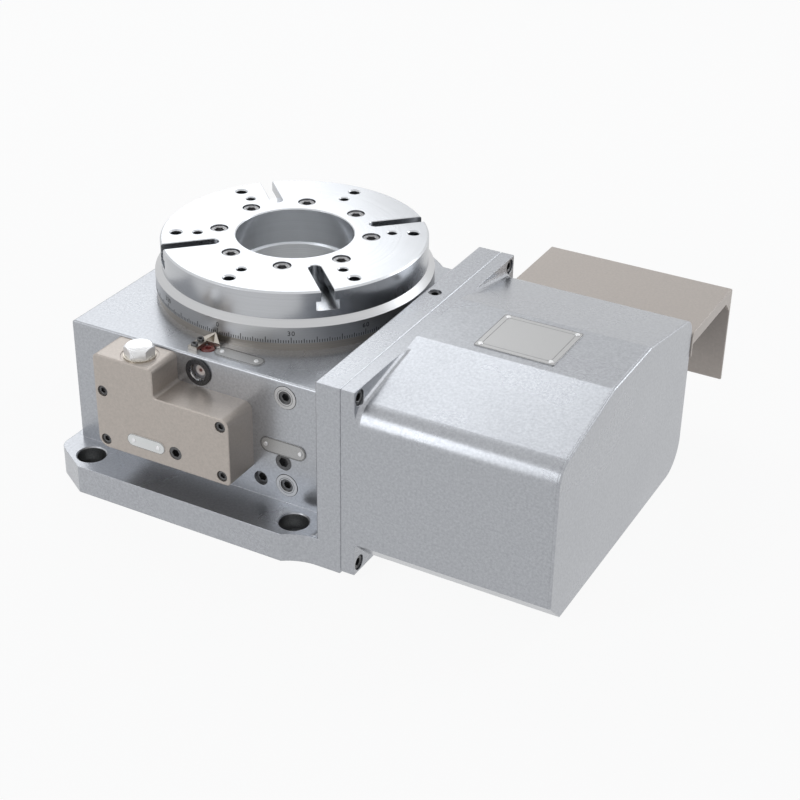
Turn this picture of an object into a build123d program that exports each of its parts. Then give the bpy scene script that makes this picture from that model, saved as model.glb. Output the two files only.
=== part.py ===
from build123d import *
import math
import os

# CNC rotary table lying on its base: a T-slotted plate turned by a worm, held by a hydraulic brake, with
# the servo motor and its gears in a cast cover beside the body. Millimetres. The origin is on the table's
# axis at the base plane, +Z up, +X towards the motor cover, -Y towards the manifold block.

os.makedirs("parts", exist_ok=True)

# Fits
seat_gap = 0.05  # radial gap of a piece held in or on another
run_gap = 0.3  # gap between pieces that move past each other
head_gap = 0.5  # radial gap round a sunk screw head
edge_break = 1.0  # chamfer on machined edges
fine_break = 0.8  # chamfer on small machined edges

# Main casting
body_height = 151.5
body_left = 137.0  # from the axis to the left face
body_front = 163.0
body_back = 107.0
body_rear_radius = 148.0  # round back, about the table's axis
body_edge = 2.0
foot_thickness = 28.0
foot_left = 145.5
foot_front = 207.5
foot_back = 170.0
foot_corner_run = 36.5  # chamfer of the foot's left corners, along X
foot_corner_rise = 23.0  # the same chamfer, along Y
foot_corner_radius = 14.0
foot_bolt_x = 110.0
foot_bolt_front = 185.0
foot_bolt_back = 146.0
foot_bolt_radius = 8.75
foot_counterbore_radius = 13.4
foot_counterbore_depth = 17.0
foot_straight_end = 110.0  # where the foot's front leaves its straight run
wall_left = 140.5
wall_thickness = 24.0
wall_front = 197.5
wall_back = 102.5
wall_height = body_height + 32.0
wall_foot_radius = 8.0

# Table plate, graduated ring and seal ring
seal_height = 7.2
seal_radius = 130.0
seal_inner_radius = 116.0
seal_lip_radius = 121.0
seal_lip_width = 4.0
seal_screw_circle = 126.0
ring_radius = 131.0
ring_band = 15.5
ring_cone = 5.5
ring_web = 8.0
ring_skirt = 8.0
ring_inner_radius = 112.0
ring_screw_circle = 117.5
table_radius = 125.0
plate_thickness = 26.0
plate_hub_depth = 10.0
plate_chamfer = 1.5
bore_radius = 55.0
slot_width = 12.0
slot_head_width = 21.0
slot_head_height = 9.0
slot_depth = 19.0
slot_inner_radius = 78.0
slot_chamfer = 0.6
fixture_outer_circle = 110.5
fixture_inner_circle = 90.5
fixture_outer_radius = 5.1
fixture_inner_radius = 4.25
fixture_depth = 22.0
fixture_outer_rim = 1.3  # width of the countersink round each hole
fixture_inner_rim = 1.0
table_screw_circle = 71.6

# Spindle and its bearing
spindle_bore = 52.5
spindle_radius = 75.0
spindle_flange_radius = 92.0
spindle_flange = 0.132 * body_height
spindle_end = 22.0
bore_groove_height = 140.0
bore_groove_width = 2.0
bearing_seat_radius = 122.0
bearing_shelf_radius = 112.0
bearing_race_radius = 110.0
bearing_sleeve_radius = 84.0
bearing_ring_bore = 88.0
bearing_washer = 0.066 * body_height
bearing_ring_height = 0.0904 * body_height
upper_roller = 8.0
lower_roller = 5.0
roller_length = 14.0
roller_play = 0.15
roller_count = 36
radial_roller_count = 48
roller_inset = 5.0  # from the thrust rollers' outer ends to the race's rim
radial_roller_inset = 2.0  # from the radial rollers' ends to the outer ring's faces
bearing_screw_circle = 117.0

# Worm drive
module_worm = 2.0
wheel_teeth = 90
wheel_face = 20.0
worm_pitch_radius = 22.0
worm_turns = 10
thread_overlap = 1.0  # depth to which the worm's thread reaches into its core
flank_play = 0.5  # gap on each side of a worm wheel tooth
pressure_angle = 20.0
worm_bore_gap = 2.0
worm_rise_share = 0.5606  # of the room between brake and bearing, the share left under the worm
shaft_radius = 15.0
stub_radius = 12.5
worm_seat_radius = 31.0
worm_bearing_width = 15.0
worm_bearing_inset = 6.5  # from the right bearing's end to the wall's left face
worm_ring_thickness = 3.5
worm_ball_space = 9.0  # radial room for the balls
worm_ball_count = 12
worm_cap_radius = 42.0
worm_cap_thickness = 8.0
worm_cap_room = 2.0  # between the left cap and the nut
worm_cap_screw_circle = 36.5
seal_cap_thickness = 6.0
seal_cap_bore = 15.5
worm_nut_width = 8.0
worm_nut_radius = 21.0
wheel_key_width = 12.0
wheel_key_depth = 4.0
gear_nut_radius = 18.0
shaft_end_gap = 1.5  # between the worm shaft's end and the motor plate

# Brake
base_cover_radius = 134.0
base_cover_thickness = 12.0
base_screw_circle = base_cover_radius - 5.0
brake_seat_radius = 124.0
brake_disc_radius = 117.0
brake_disc_thickness = 0.033 * body_height
brake_stator_thickness = 0.031 * body_height
brake_bore_outer = 118.0
brake_bore_inner = 96.0
brake_wall_inner = 90.0
brake_floor = 4.0
piston_bottom_gap = 2.0
piston_height = 0.1023 * body_height
piston_groove_rise = 5.0  # from the piston's bottom to its seal grooves
piston_groove_width = 3.6
piston_groove_depth = 3.0
brake_free_gap = 0.5
spindle_nut_radius = 88.0
spindle_nut_height = 10.0
spindle_nut_slot = 9.0
spindle_nut_slot_depth = 4.0

# Motor and gears
module_gear = 2.5
gear_teeth = 36
pinion_teeth = 18
gear_backlash = 0.5
flank_steps = 4  # straight runs that make up a gear tooth's flank
gear_start = 184.0
gear_face = 16.0
motor_rise = 18.0  # motor axis above the worm axis
motor_shaft_radius = 9.5
motor_size = 110.0
motor_pilot_radius = 47.5
motor_plate_start = 208.0
motor_plate_thickness = 12.0
motor_flange_thickness = 12.0
motor_body_length = 86.0
motor_cap_length = 28.0
motor_body_flat = 104.0  # across the flats
motor_head_room = 3.5  # between the screw heads and the motor body's corner flats
motor_cap_size = 92.0
motor_corner_radius = 10.0
motor_screw_reach = 46.0  # from the motor's axis to its screws, in both directions
motor_pilot_depth = 3.0
motor_bore_gap = 0.5
motor_bore_depth = 8.0
motor_shaft_inset = 7.5
pinion_margin = 1.0  # by which the pinion is wider than the gear at each side
plate_margin = 12.0  # from the pillars to the motor plate's edges
plate_chamfer_run = 10.0
pillar_radius = 9.0
pillar_stud_radius = 5.0
pillar_stud_length = 16.0
pillar_y = (-172.0, 16.0)
pillar_z = (38.0, 148.0)

# Motor cover, end plate and connector hood
cover_wall = 6.0
flange_thickness = 13.5
flange_bottom = 3.0
cover_end = 357.5
end_plate_thickness = 2.5
cover_top = wall_height + 3.5
cover_bottom = 12.5
cover_back = 97.0
cover_front_fold = -92.0
cover_back_fold = -10.0
cover_front_drop = 21.6  # fall of the front slope, from its fold to the front face
cover_back_drop = 20.0
cover_front_radius = 20.0
cover_back_radius = 18.0
cover_fold_radius = 10.0
cover_lower_radius = 30.0
cover_root_radius = 4.5  # rounding between the box and its flange
cover_lower_chamfer = 22.5
root_steps = 3  # straight runs that make up that rounding
flange_chamfer = 0.7
flange_screw_inset = 8.5
flange_spot_radius = 7.0
flange_spot_depth = 9.0
end_plate_radius = 1.5
stud_inset = 7.5  # from the cover's inner walls to the studs
stud_z = (62.0, 145.0)
stud_radius = 3.0
stud_boss_radius = 8.0
stud_boss_length = 22.0
stud_nut_size = 5.5
stud_nut_height = 5.0
stud_end = 4.0  # of the stud, past its nut
hood_sheet = 2.5
hood_top = body_height
hood_left = 174.5
hood_right = 361.0
hood_back = 206.0
hood_bottom = 52.0
hood_lip = 12.0
hood_gusset = 15.0
hood_bend = 5.0
hood_flange = 24.0
hood_notch = 0.6  # gap of the hood round the cover's flange
hood_screw_x = (200.0, 268.0, 336.0)
connector_x = (232.0, 290.0)
connector_z = 98.0
connector_plate = 32.0
connector_plate_thickness = 3.0
connector_plate_corner = 3.0
connector_screw_reach = 12.0
connector_tail_radius = 10.0
connector_barrel_radius = 12.0
connector_barrel_length = 22.0
connector_nut_radius = 13.5
connector_nut_start = 13.0
connector_nut_length = 10.0

# Manifold block on the front face
block_left = -86.0
block_right = 55.5
block_step = -22.5
block_bottom = 55.0
block_step_height = body_height - 29.9
block_top = body_height - 2.0
block_depth = 38.0
block_screw_inset = 8.4
port_plug_place = (-47.5, -183.0)
port_plug_flats = 24.0
port_plug_head = 9.0
port_plug_radius = 9.0
port_plug_depth = 20.0
port_spot_radius = 17.0
port_spot_depth = 0.5
port_washer_radius = 14.5
port_washer_thickness = 1.5

# Small pieces
rivet_radius = 2.3
rivet_height = 0.8
rivet_stem_radius = 1.2
rivet_stem = 4.0
rivet_reach = 17.7  # of the oblong labels, from the middle to each rivet
label_thickness = 0.8
front_label_place = (86.6, 84.0)
top_label_place = (32.0, -145.6)
block_label_place = (-33.0, 72.2)
block_rivet_reach = 13.1
nameplate_place = (264.0, -50.0)
nameplate_length = 74.0
nameplate_width = 64.0
nameplate_inset = 4.4
nameplate_corner = 2.0
front_label_size = (46.5, 15.5)
top_label_size = (50.0, 15.5)
block_label_size = (40.0, 12.0)
sight_glass_place = (0.5, body_height - 15.0)
sight_glass_radius = 13.0
bezel_width = 4.5
bezel_lip = 1.5  # by which the bezel covers the casting round its hole
bezel_height = 2.2
bezel_depth = 7.5
lens_top = 1.4  # above the front face
lens_thickness = 4.0
reflector_depth = 5.0
reflector_thickness = 1.5
port_places = ((89.6, body_height - 15.7), (89.6, 46.5))
port_radius = 10.8
port_bore = 6.4
port_bush_depth = 13.0
port_bush_rise = 0.4
pointer_tip = (-2.0, -131.5)
pointer_tip_half = 0.6
pointer_height = 3.6
pointer_rise = 9.0  # of the arrow's tip
pointer_back = -156.0
pointer_arrow_back = -140.0
pointer_arrow_x = (-15.0, 8.4)
pointer_stem_x = (-15.0, -5.8)
pointer_spot_radius = 3.7
pointer_screw_places = ((-10.6, -142.6), (-10.2, -152.6))
wall_plug_place = (150.0, -4.2)
sealed_plug_place = (-0.7, -146.0)
sealed_plug_radius = 6.4
sealed_plug_pocket = 7.6
sealed_plug_depth = 2.5
sealed_plug_drop = 0.2  # of its head below the body's top
block_plug_place = (-1.6, 71.7)
drain_plug_place = (86.5, 69.5)
tapped_plug_place = (62.4, 45.5)
drain_plug_radius = 8.0
tapped_plug_radius = 6.9
block_plug_radius = 6.5
wall_plug_radius = 6.0
plug_length = 10.0
long_plug_length = 12.0

# Socket screws: thread size, length under the head, and depth of the head's top below its surface
table_screw_size = 10.0
table_screw_length = 40.0
table_screw_sink = 1.0
ring_screw_size = 5.0
ring_screw_length = 8.0
ring_screw_sink = 0.3
ring_screw_spare = 0.5
seal_screw_size = 4.0
seal_screw_length = 10.0
seal_screw_sink = 0.4
pointer_screw_size = 4.0
pointer_screw_length = 12.0
connector_screw_size = 4.0
connector_screw_length = 10.0
bearing_screw_size = 6.0
bearing_screw_length = 16.0
base_screw_size = 5.0
base_screw_length = 16.0
cap_screw_size = 5.0
cap_screw_length = 10.0
seal_cap_screw_size = 6.0
seal_cap_screw_length = 18.0
block_screw_size = 6.0
block_screw_length = 44.0
block_screw_sink = 1.0
flange_screw_size = 8.0
flange_screw_length = 20.0
flange_screw_sink = 1.0
motor_screw_size = 8.0
pillar_screw_length = 30.0
motor_screw_length = 22.0
hood_screw_size = 5.0
hood_screw_length = 10.0
screw_sink = 0.5
thread_spare = 2.0  # depth of a threaded hole past its screw's end
head_ratio = 0.8  # of a screw's head radius to its thread size

# Finishes
steel = (0.62, 0.63, 0.65)
painted = (0.72, 0.73, 0.75)
black = (0.08, 0.08, 0.09)
bronze = (0.66, 0.50, 0.25)
taupe = (0.50, 0.45, 0.40)
tan = (0.68, 0.62, 0.52)
cast = (0.55, 0.56, 0.58)
pale = (0.85, 0.86, 0.87)
red = (0.55, 0.06, 0.05)

# Levels and places worked out from the sizes above
seal_top = body_height + seal_height
ring_bottom = seal_top + run_gap
ring_shoulder = ring_bottom + ring_band
plate_bottom = ring_shoulder + ring_cone
table_top = plate_bottom + plate_thickness
slot_bottom = table_top - slot_depth
ring_web_bottom = plate_bottom - ring_web
spindle_top = plate_bottom - plate_hub_depth
bearing_top = spindle_top - spindle_flange
upper_race = bearing_top - bearing_washer
outer_ring_top = upper_race - upper_roller - 2 * roller_play
outer_ring_bottom = outer_ring_top - bearing_ring_height
lower_race = outer_ring_bottom - lower_roller - 2 * roller_play
wheel_hub_top = lower_race - bearing_washer

cylinder_floor = base_cover_thickness + brake_floor
piston_bottom = cylinder_floor + piston_bottom_gap
piston_top = piston_bottom + piston_height
disc_bottom = piston_top + brake_free_gap
disc_top = disc_bottom + brake_disc_thickness
stator_bottom = disc_top + run_gap
stator_top = stator_bottom + brake_stator_thickness
nut_bottom = disc_bottom - spindle_nut_height
spindle_bottom = min(spindle_end, nut_bottom - edge_break)

wheel_pitch_radius = module_worm * wheel_teeth / 2
worm_distance = wheel_pitch_radius + worm_pitch_radius
worm_y = -worm_distance
worm_pitch = math.pi * module_worm
worm_tip_radius = worm_pitch_radius + module_worm
worm_root_radius = worm_pitch_radius - 1.25 * module_worm
worm_bore_radius = worm_tip_radius + worm_bore_gap
worm_room = wheel_hub_top - stator_top - 2 * worm_tip_radius
worm_height = stator_top + worm_tip_radius + worm_rise_share * worm_room

wall_right = wall_left + wall_thickness
flange_face = wall_right + flange_thickness
left_bearing_start = -body_left + worm_cap_thickness + worm_nut_width + worm_cap_room
left_bearing_end = left_bearing_start + 2 * worm_bearing_width
right_bearing_end = wall_left + worm_bearing_inset
right_bearing_start = right_bearing_end - worm_bearing_width
gear_end = gear_start + gear_face

gear_pitch_radius = module_gear * gear_teeth / 2
pinion_pitch_radius = module_gear * pinion_teeth / 2
gear_distance = gear_pitch_radius + pinion_pitch_radius
motor_z = worm_height + motor_rise
motor_y = worm_y + math.sqrt(gear_distance**2 - motor_rise**2)
mesh_angle = math.degrees(math.atan2(motor_rise, motor_y - worm_y))
motor_flange_start = motor_plate_start + motor_plate_thickness
motor_body_start = motor_flange_start + motor_flange_thickness
motor_cap_start = motor_body_start + motor_body_length

front_face = Plane.XZ.offset(body_front)
left_face = Plane(origin=(-body_left, 0, 0), x_dir=(0, -1, 0), z_dir=(-1, 0, 0))
body_top = Plane.XY.offset(body_height)
cover_top_plane = Plane.XY.offset(cover_top)
block_face = front_face.offset(block_depth)
block_top_plane = Plane.XY.offset(block_top)
table_face = Plane.XY.offset(table_top)
foot_face = Plane.XY.offset(foot_thickness)
wall_top = Plane.XY.offset(wall_height)
underside = Plane(origin=(0, 0, 0), x_dir=(1, 0, 0), z_dir=(0, 0, -1))
cover_back_plane = Plane(origin=(0, cover_back, 0), x_dir=(-1, 0, 0), z_dir=(0, 1, 0))


def across(x):
    """A plane square to X, with Y to the right and Z up."""
    return Plane.YZ.offset(x)


def export(builder, name, color):
    """Names a finished piece and writes it."""
    builder.part.label = name
    builder.part.color = Color(*color)
    export_step(builder.part, f"parts/{name}.step")


def ring(inner, outer, low, high):
    """A plain ring about the table's axis."""
    with BuildPart() as piece:
        with BuildSketch(Plane.XY.offset(low)):
            Circle(outer)
            Circle(inner, mode=Mode.SUBTRACT)
        extrude(amount=high - low)
    return piece


def ring_across(inner, outer, start, end, y, z):
    """A ring about a line along X, at the place (y, z)."""
    with BuildPart() as piece:
        with BuildSketch(across(start)):
            with Locations((y, z)):
                Circle(outer)
                Circle(inner, mode=Mode.SUBTRACT)
        extrude(amount=end - start)
    return piece


def turned(points):
    """A body of revolution about the table's axis, from (radius, height) corners."""
    with BuildPart() as piece:
        with BuildSketch(Plane.XZ):
            with BuildLine():
                Polyline(*points, close=True)
            make_face()
        revolve(axis=Axis.Z)
    return piece


def socket_screws(plane, places, size, length, sunk=0.0):
    """Socket head screws, one at each place of the plane, with their heads sunk below it."""
    with BuildPart() as piece:
        with BuildSketch(plane.offset(-sunk)):
            with Locations(*places):
                Circle(head_ratio * size)
        extrude(amount=-size)
        with BuildSketch(plane.offset(-sunk - size)):
            with Locations(*places):
                Circle(size / 2)
        extrude(amount=-length)
        with BuildSketch(plane.offset(-sunk)):
            with Locations(*places):
                RegularPolygon(radius=0.46 * size, side_count=6)
        extrude(amount=-0.55 * size, mode=Mode.SUBTRACT)
    return piece


def flush_plugs(plane, places, radius, depth, sunk):
    """Socket plugs screwed in flush with a face, or a little below it."""
    with BuildPart() as piece:
        with BuildSketch(plane.offset(-sunk)):
            with Locations(*places):
                Circle(radius)
                RegularPolygon(radius=0.62 * radius, side_count=6, mode=Mode.SUBTRACT)
        extrude(amount=-0.5 * depth)
        with BuildSketch(plane.offset(-sunk - 0.5 * depth)):
            with Locations(*places):
                Circle(radius)
        extrude(amount=sunk - 0.5 * depth)
    return piece


def plain_holes(plane, places, radius, depth):
    """Cuts round holes into the piece being built."""
    with BuildSketch(plane) as holes:
        with Locations(*places):
            Circle(radius)
    extrude(holes.sketch, amount=-depth, mode=Mode.SUBTRACT)


def screw_holes(plane, places, size, depth, sunk=0.0):
    """Cuts holes for socket screws into the piece being built, with room for their sunk heads."""
    plain_holes(plane, places, head_ratio * size + head_gap, sunk + size)
    plain_holes(plane, places, size / 2 + seat_gap, depth)


def threaded_holes(plane, places, size, length, grip, spare=thread_spare):
    """Cuts threaded holes for screws whose heads sit a grip's length above the plane."""
    plain_holes(plane, places, size / 2 + seat_gap, length - grip + spare)


def circle_places(radius, count, start=0.0):
    """Places spaced evenly on a circle."""
    angles = [math.radians(start + 360 * i / count) for i in range(count)]
    return [(radius * math.cos(a), radius * math.sin(a)) for a in angles]


def add_rivets(plane, places):
    """Adds rivets with domed heads to the piece being built."""
    with BuildSketch(plane) as heads:
        with Locations(*places):
            Circle(rivet_radius)
    extrude(heads.sketch, amount=rivet_height, taper=30)
    with BuildSketch(plane) as stems:
        with Locations(*places):
            Circle(rivet_stem_radius)
    extrude(stems.sketch, amount=-rivet_stem)


def involute(angle):
    """The involute function of a pressure angle in radians."""
    return math.tan(angle) - angle


def gear_outline(module, teeth, thinning, centre, turn):
    """Corners of a spur gear's outline, with a tooth at the angle given by turn."""
    pitch_radius = module * teeth / 2
    base_radius = pitch_radius * math.cos(math.radians(pressure_angle))
    root_radius = pitch_radius - 1.25 * module
    tip_radius = pitch_radius + module
    flank_start = max(base_radius, root_radius)
    radii = [flank_start + (tip_radius - flank_start) * i / flank_steps for i in range(flank_steps + 1)]
    pitch_half = (math.pi * module / 2 - thinning) / (2 * pitch_radius)
    root_slope = involute(math.radians(pressure_angle))
    flank = [(r, pitch_half + root_slope - involute(math.acos(min(1.0, base_radius / r)))) for r in radii]
    if root_radius < base_radius:
        flank.insert(0, (root_radius, flank[0][1]))
    corners = []
    for i in range(teeth):
        middle = math.radians(turn + 360 * i / teeth)
        corners += [(r, middle - half) for r, half in flank]
        corners += [(r, middle + half) for r, half in reversed(flank)]
    return [(centre[0] + r * math.cos(a), centre[1] + r * math.sin(a)) for r, a in corners]


# Places of the screws, used for the screws and for their holes
table_screw_places = circle_places(table_screw_circle, 8, 22.5)
ring_screw_places = circle_places(ring_screw_circle, 6)
seal_screw_places = circle_places(seal_screw_circle, 8, 22.5)
bearing_screw_places = circle_places(bearing_screw_circle, 12, 15)
base_screw_places = circle_places(base_screw_circle, 12, 15)
flange_screw_places = [
    (y, z)
    for y in (-wall_front + flange_screw_inset, wall_back - flange_screw_inset)
    for z in (flange_bottom + flange_screw_inset, wall_height - flange_screw_inset)
]
block_screw_places = [
    (x, z)
    for x in (block_left + block_screw_inset, block_right - block_screw_inset)
    for z in (block_bottom + block_screw_inset, block_step_height - block_screw_inset)
]
worm_left = [(-worm_y, worm_height)]
worm_right = [(worm_y, worm_height)]
left_cap_places = [(-worm_y + y, worm_height + z) for y, z in circle_places(worm_cap_screw_circle, 6, 30)]
seal_cap_places = [(worm_y + y, worm_height + z) for y, z in circle_places(worm_cap_screw_circle, 6, 30)]
pillar_places = [(y, z) for y in pillar_y for z in pillar_z]
motor_screw_places = [
    (motor_y + y, motor_z + z)
    for y in (-motor_screw_reach, motor_screw_reach)
    for z in (-motor_screw_reach, motor_screw_reach)
]
foot_bolt_places = [(x, y) for x in (-foot_bolt_x, foot_bolt_x) for y in (-foot_bolt_front, foot_bolt_back)]
stud_places = [
    (y, z)
    for y in (-wall_front + cover_wall + stud_inset, cover_back - cover_wall - stud_inset)
    for z in stud_z
]
label_rivet_sets = [
    (front_face.offset(label_thickness), front_label_place, rivet_reach),
    (body_top.offset(label_thickness), top_label_place, rivet_reach),
    (block_face.offset(label_thickness), block_label_place, block_rivet_reach),
]
nameplate_rivet_places = [
    (nameplate_place[0] + x, nameplate_place[1] + y)
    for x in (-nameplate_length / 2 + nameplate_inset, nameplate_length / 2 - nameplate_inset)
    for y in (-nameplate_width / 2 + nameplate_inset, nameplate_width / 2 - nameplate_inset)
]
connector_places = [(-x, connector_z) for x in connector_x]
connector_screw_places = [
    (x + a * connector_screw_reach, z + b * connector_screw_reach)
    for x, z in connector_places
    for a in (-1, 1)
    for b in (-1, 1)
]
hood_screw_places = [(-x, hood_top - 0.5 * hood_flange) for x in hood_screw_x]

# Main casting
sweep_height = foot_front - wall_front
sweep_run = wall_left - foot_straight_end
sweep_radius = (sweep_run**2 + sweep_height**2) / (2 * sweep_height)
sweep_angle = math.degrees(math.asin(sweep_run / sweep_radius))
wall_middle = wall_left + wall_thickness / 2
body_length = body_left + wall_left
min_corner = (Align.MIN, Align.MIN)

with BuildPart() as main_casting:
    # Wall that carries the cover
    with BuildSketch(across(wall_left)):
        with Locations((-wall_front, 0)):
            Rectangle(wall_front + wall_back, wall_height, align=min_corner)
    extrude(amount=wall_thickness)
    fillet(main_casting.edges().group_by(Axis.X)[0], body_edge)
    chamfer(main_casting.edges().group_by(Axis.X)[-1], fine_break)
    # Body with its round back
    with BuildSketch():
        Circle(body_rear_radius)
        with Locations((-body_left, 0)):
            Rectangle(body_length, body_rear_radius, align=min_corner, mode=Mode.INTERSECT)
        with Locations((-body_left, -body_front)):
            Rectangle(body_length, body_front + body_back, align=min_corner)
    extrude(amount=body_height)
    top_edges = main_casting.edges().filter_by(lambda e: abs(e.center().Z - body_height) < 0.01)
    fillet(top_edges.filter_by(lambda e: e.center().X < wall_left - 1), body_edge)
    # Foot, whose front sweeps back into the wall's front
    with BuildSketch() as foot:
        with BuildLine():
            Polyline(
                (foot_straight_end, -foot_front),
                (-foot_left + foot_corner_run, -foot_front),
                (-foot_left, -foot_front + foot_corner_rise),
                (-foot_left, foot_back - foot_corner_rise),
                (-foot_left + foot_corner_run, foot_back),
                (wall_left - foot_corner_run, foot_back),
                (wall_left, foot_back - foot_corner_rise),
                (wall_left, wall_back),
                (wall_middle, wall_back),
                (wall_middle, -wall_front),
                (wall_left, -wall_front),
            )
            CenterArc((wall_left, -wall_front - sweep_radius), sweep_radius, 90, sweep_angle)
        make_face()
        fillet(foot.vertices().group_by(Axis.X)[0], foot_corner_radius)
    extrude(amount=foot_thickness)
    # Rounding between the foot's top and the wall
    with BuildSketch(front_face):
        with Locations((wall_left - wall_foot_radius, foot_thickness)):
            Rectangle(wall_foot_radius, wall_foot_radius, align=min_corner)
        with Locations((wall_left - wall_foot_radius, foot_thickness + wall_foot_radius)):
            Circle(wall_foot_radius, mode=Mode.SUBTRACT)
    extrude(amount=wall_front - body_front - body_edge)
    # Seats of the base cover, brake and bearing, and the worm wheel's chamber
    plain_holes(underside, [(0, 0)], base_cover_radius + seat_gap, base_cover_thickness)
    plain_holes(underside, [(0, 0)], brake_seat_radius + seat_gap, stator_top)
    plain_holes(underside, [(0, 0)], bearing_shelf_radius, outer_ring_bottom)
    plain_holes(body_top, [(0, 0)], bearing_seat_radius + seat_gap, body_height - outer_ring_bottom)
    # Worm bore with the seats of its bearings and caps
    plain_holes(left_face, worm_left, worm_cap_radius + seat_gap, worm_cap_thickness)
    plain_holes(left_face, worm_left, worm_seat_radius + seat_gap, body_left + left_bearing_end)
    plain_holes(across(wall_right), worm_right, worm_bore_radius, wall_right - left_bearing_end)
    plain_holes(across(wall_right), worm_right, worm_seat_radius + seat_gap, wall_right - right_bearing_start)
    # Hold-down holes
    plain_holes(foot_face, foot_bolt_places, foot_counterbore_radius, foot_counterbore_depth)
    plain_holes(foot_face, foot_bolt_places, foot_bolt_radius, foot_thickness)
    rims = main_casting.edges().filter_by(GeomType.CIRCLE)
    rims = rims.filter_by(lambda e: abs(e.center().Z - foot_thickness) < 0.01)
    chamfer(rims.filter_by(lambda e: abs(e.radius - foot_counterbore_radius) < 0.01), edge_break)
    # Threaded holes
    flange_grip = flange_thickness - flange_screw_sink - flange_screw_size
    threaded_holes(across(wall_right), flange_screw_places, flange_screw_size, flange_screw_length, flange_grip)
    plain_holes(across(wall_right), pillar_places, pillar_stud_radius + seat_gap, pillar_stud_length + edge_break)
    threaded_holes(
        across(wall_right), seal_cap_places, seal_cap_screw_size, seal_cap_screw_length, seal_cap_thickness
    )
    cap_grip = worm_cap_thickness - screw_sink - cap_screw_size
    threaded_holes(
        left_face.offset(-worm_cap_thickness), left_cap_places, cap_screw_size, cap_screw_length, cap_grip
    )
    block_grip = block_depth - block_screw_sink - block_screw_size
    threaded_holes(front_face, block_screw_places, block_screw_size, block_screw_length, block_grip)
    seal_grip = seal_height - seal_screw_sink - seal_screw_size
    threaded_holes(body_top, seal_screw_places, seal_screw_size, seal_screw_length, seal_grip)
    threaded_holes(body_top, pointer_screw_places, pointer_screw_size, pointer_screw_length, pointer_height)
    bearing_grip = bearing_ring_height - screw_sink - bearing_screw_size
    bearing_shelf = Plane.XY.offset(outer_ring_bottom)
    threaded_holes(bearing_shelf, bearing_screw_places, bearing_screw_size, bearing_screw_length, bearing_grip)
    base_grip = base_cover_thickness - screw_sink - base_screw_size
    cover_seat = underside.offset(-base_cover_thickness)
    threaded_holes(cover_seat, base_screw_places, base_screw_size, base_screw_length, base_grip)
    # Holes of the plugs, ports and sight glass
    plain_holes(front_face, [drain_plug_place], drain_plug_radius + seat_gap, plug_length + thread_spare)
    plain_holes(front_face, [tapped_plug_place], tapped_plug_radius, plug_length + 2 * thread_spare)
    plain_holes(front_face, port_places, port_radius + seat_gap, port_bush_depth + edge_break)
    bezel_radius = sight_glass_radius - bezel_lip
    plain_holes(front_face, [sight_glass_place], bezel_radius + seat_gap, bezel_depth + screw_sink)
    plain_holes(body_top, [sealed_plug_place], sealed_plug_pocket, sealed_plug_depth)
    plug_stem = sealed_plug_radius - 1.4
    plain_holes(body_top, [sealed_plug_place], plug_stem + seat_gap, sealed_plug_depth + plug_length + edge_break)
    plain_holes(wall_top, [wall_plug_place], wall_plug_radius + seat_gap, long_plug_length + thread_spare)
    for plane, (x, y), reach in label_rivet_sets[:2]:
        plain_holes(plane, [(x - reach, y), (x + reach, y)], rivet_stem_radius + seat_gap, rivet_stem + screw_sink)
export(main_casting, "main_casting", painted)

# Base cover, centred in the casting, with the register bore in its middle
with BuildPart() as base_cover:
    with BuildSketch():
        Circle(base_cover_radius)
        Circle(bore_radius, mode=Mode.SUBTRACT)
    extrude(amount=base_cover_thickness)
    chamfer(base_cover.edges().group_by(Axis.Z)[0].sort_by(SortBy.RADIUS)[-1], fine_break)
    screw_holes(underside, base_screw_places, base_screw_size, base_cover_thickness, screw_sink)
export(base_cover, "base_cover", cast)

# Seal ring on the body's top, with a lip inside the turning ring
lip_top = ring_web_bottom - run_gap
seal_lip_bore = seal_lip_radius - seal_lip_width
with BuildPart() as seal_ring:
    add(turned([
        (seal_inner_radius, body_height),
        (seal_radius, body_height),
        (seal_radius, seal_top),
        (seal_lip_radius, seal_top),
        (seal_lip_radius, lip_top),
        (seal_lip_bore, lip_top),
        (seal_lip_bore, seal_top),
        (seal_inner_radius, seal_top),
    ]).part)
    screw_holes(Plane.XY.offset(seal_top), seal_screw_places, seal_screw_size, seal_height, seal_screw_sink)
export(seal_ring, "seal_ring", tan)

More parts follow.
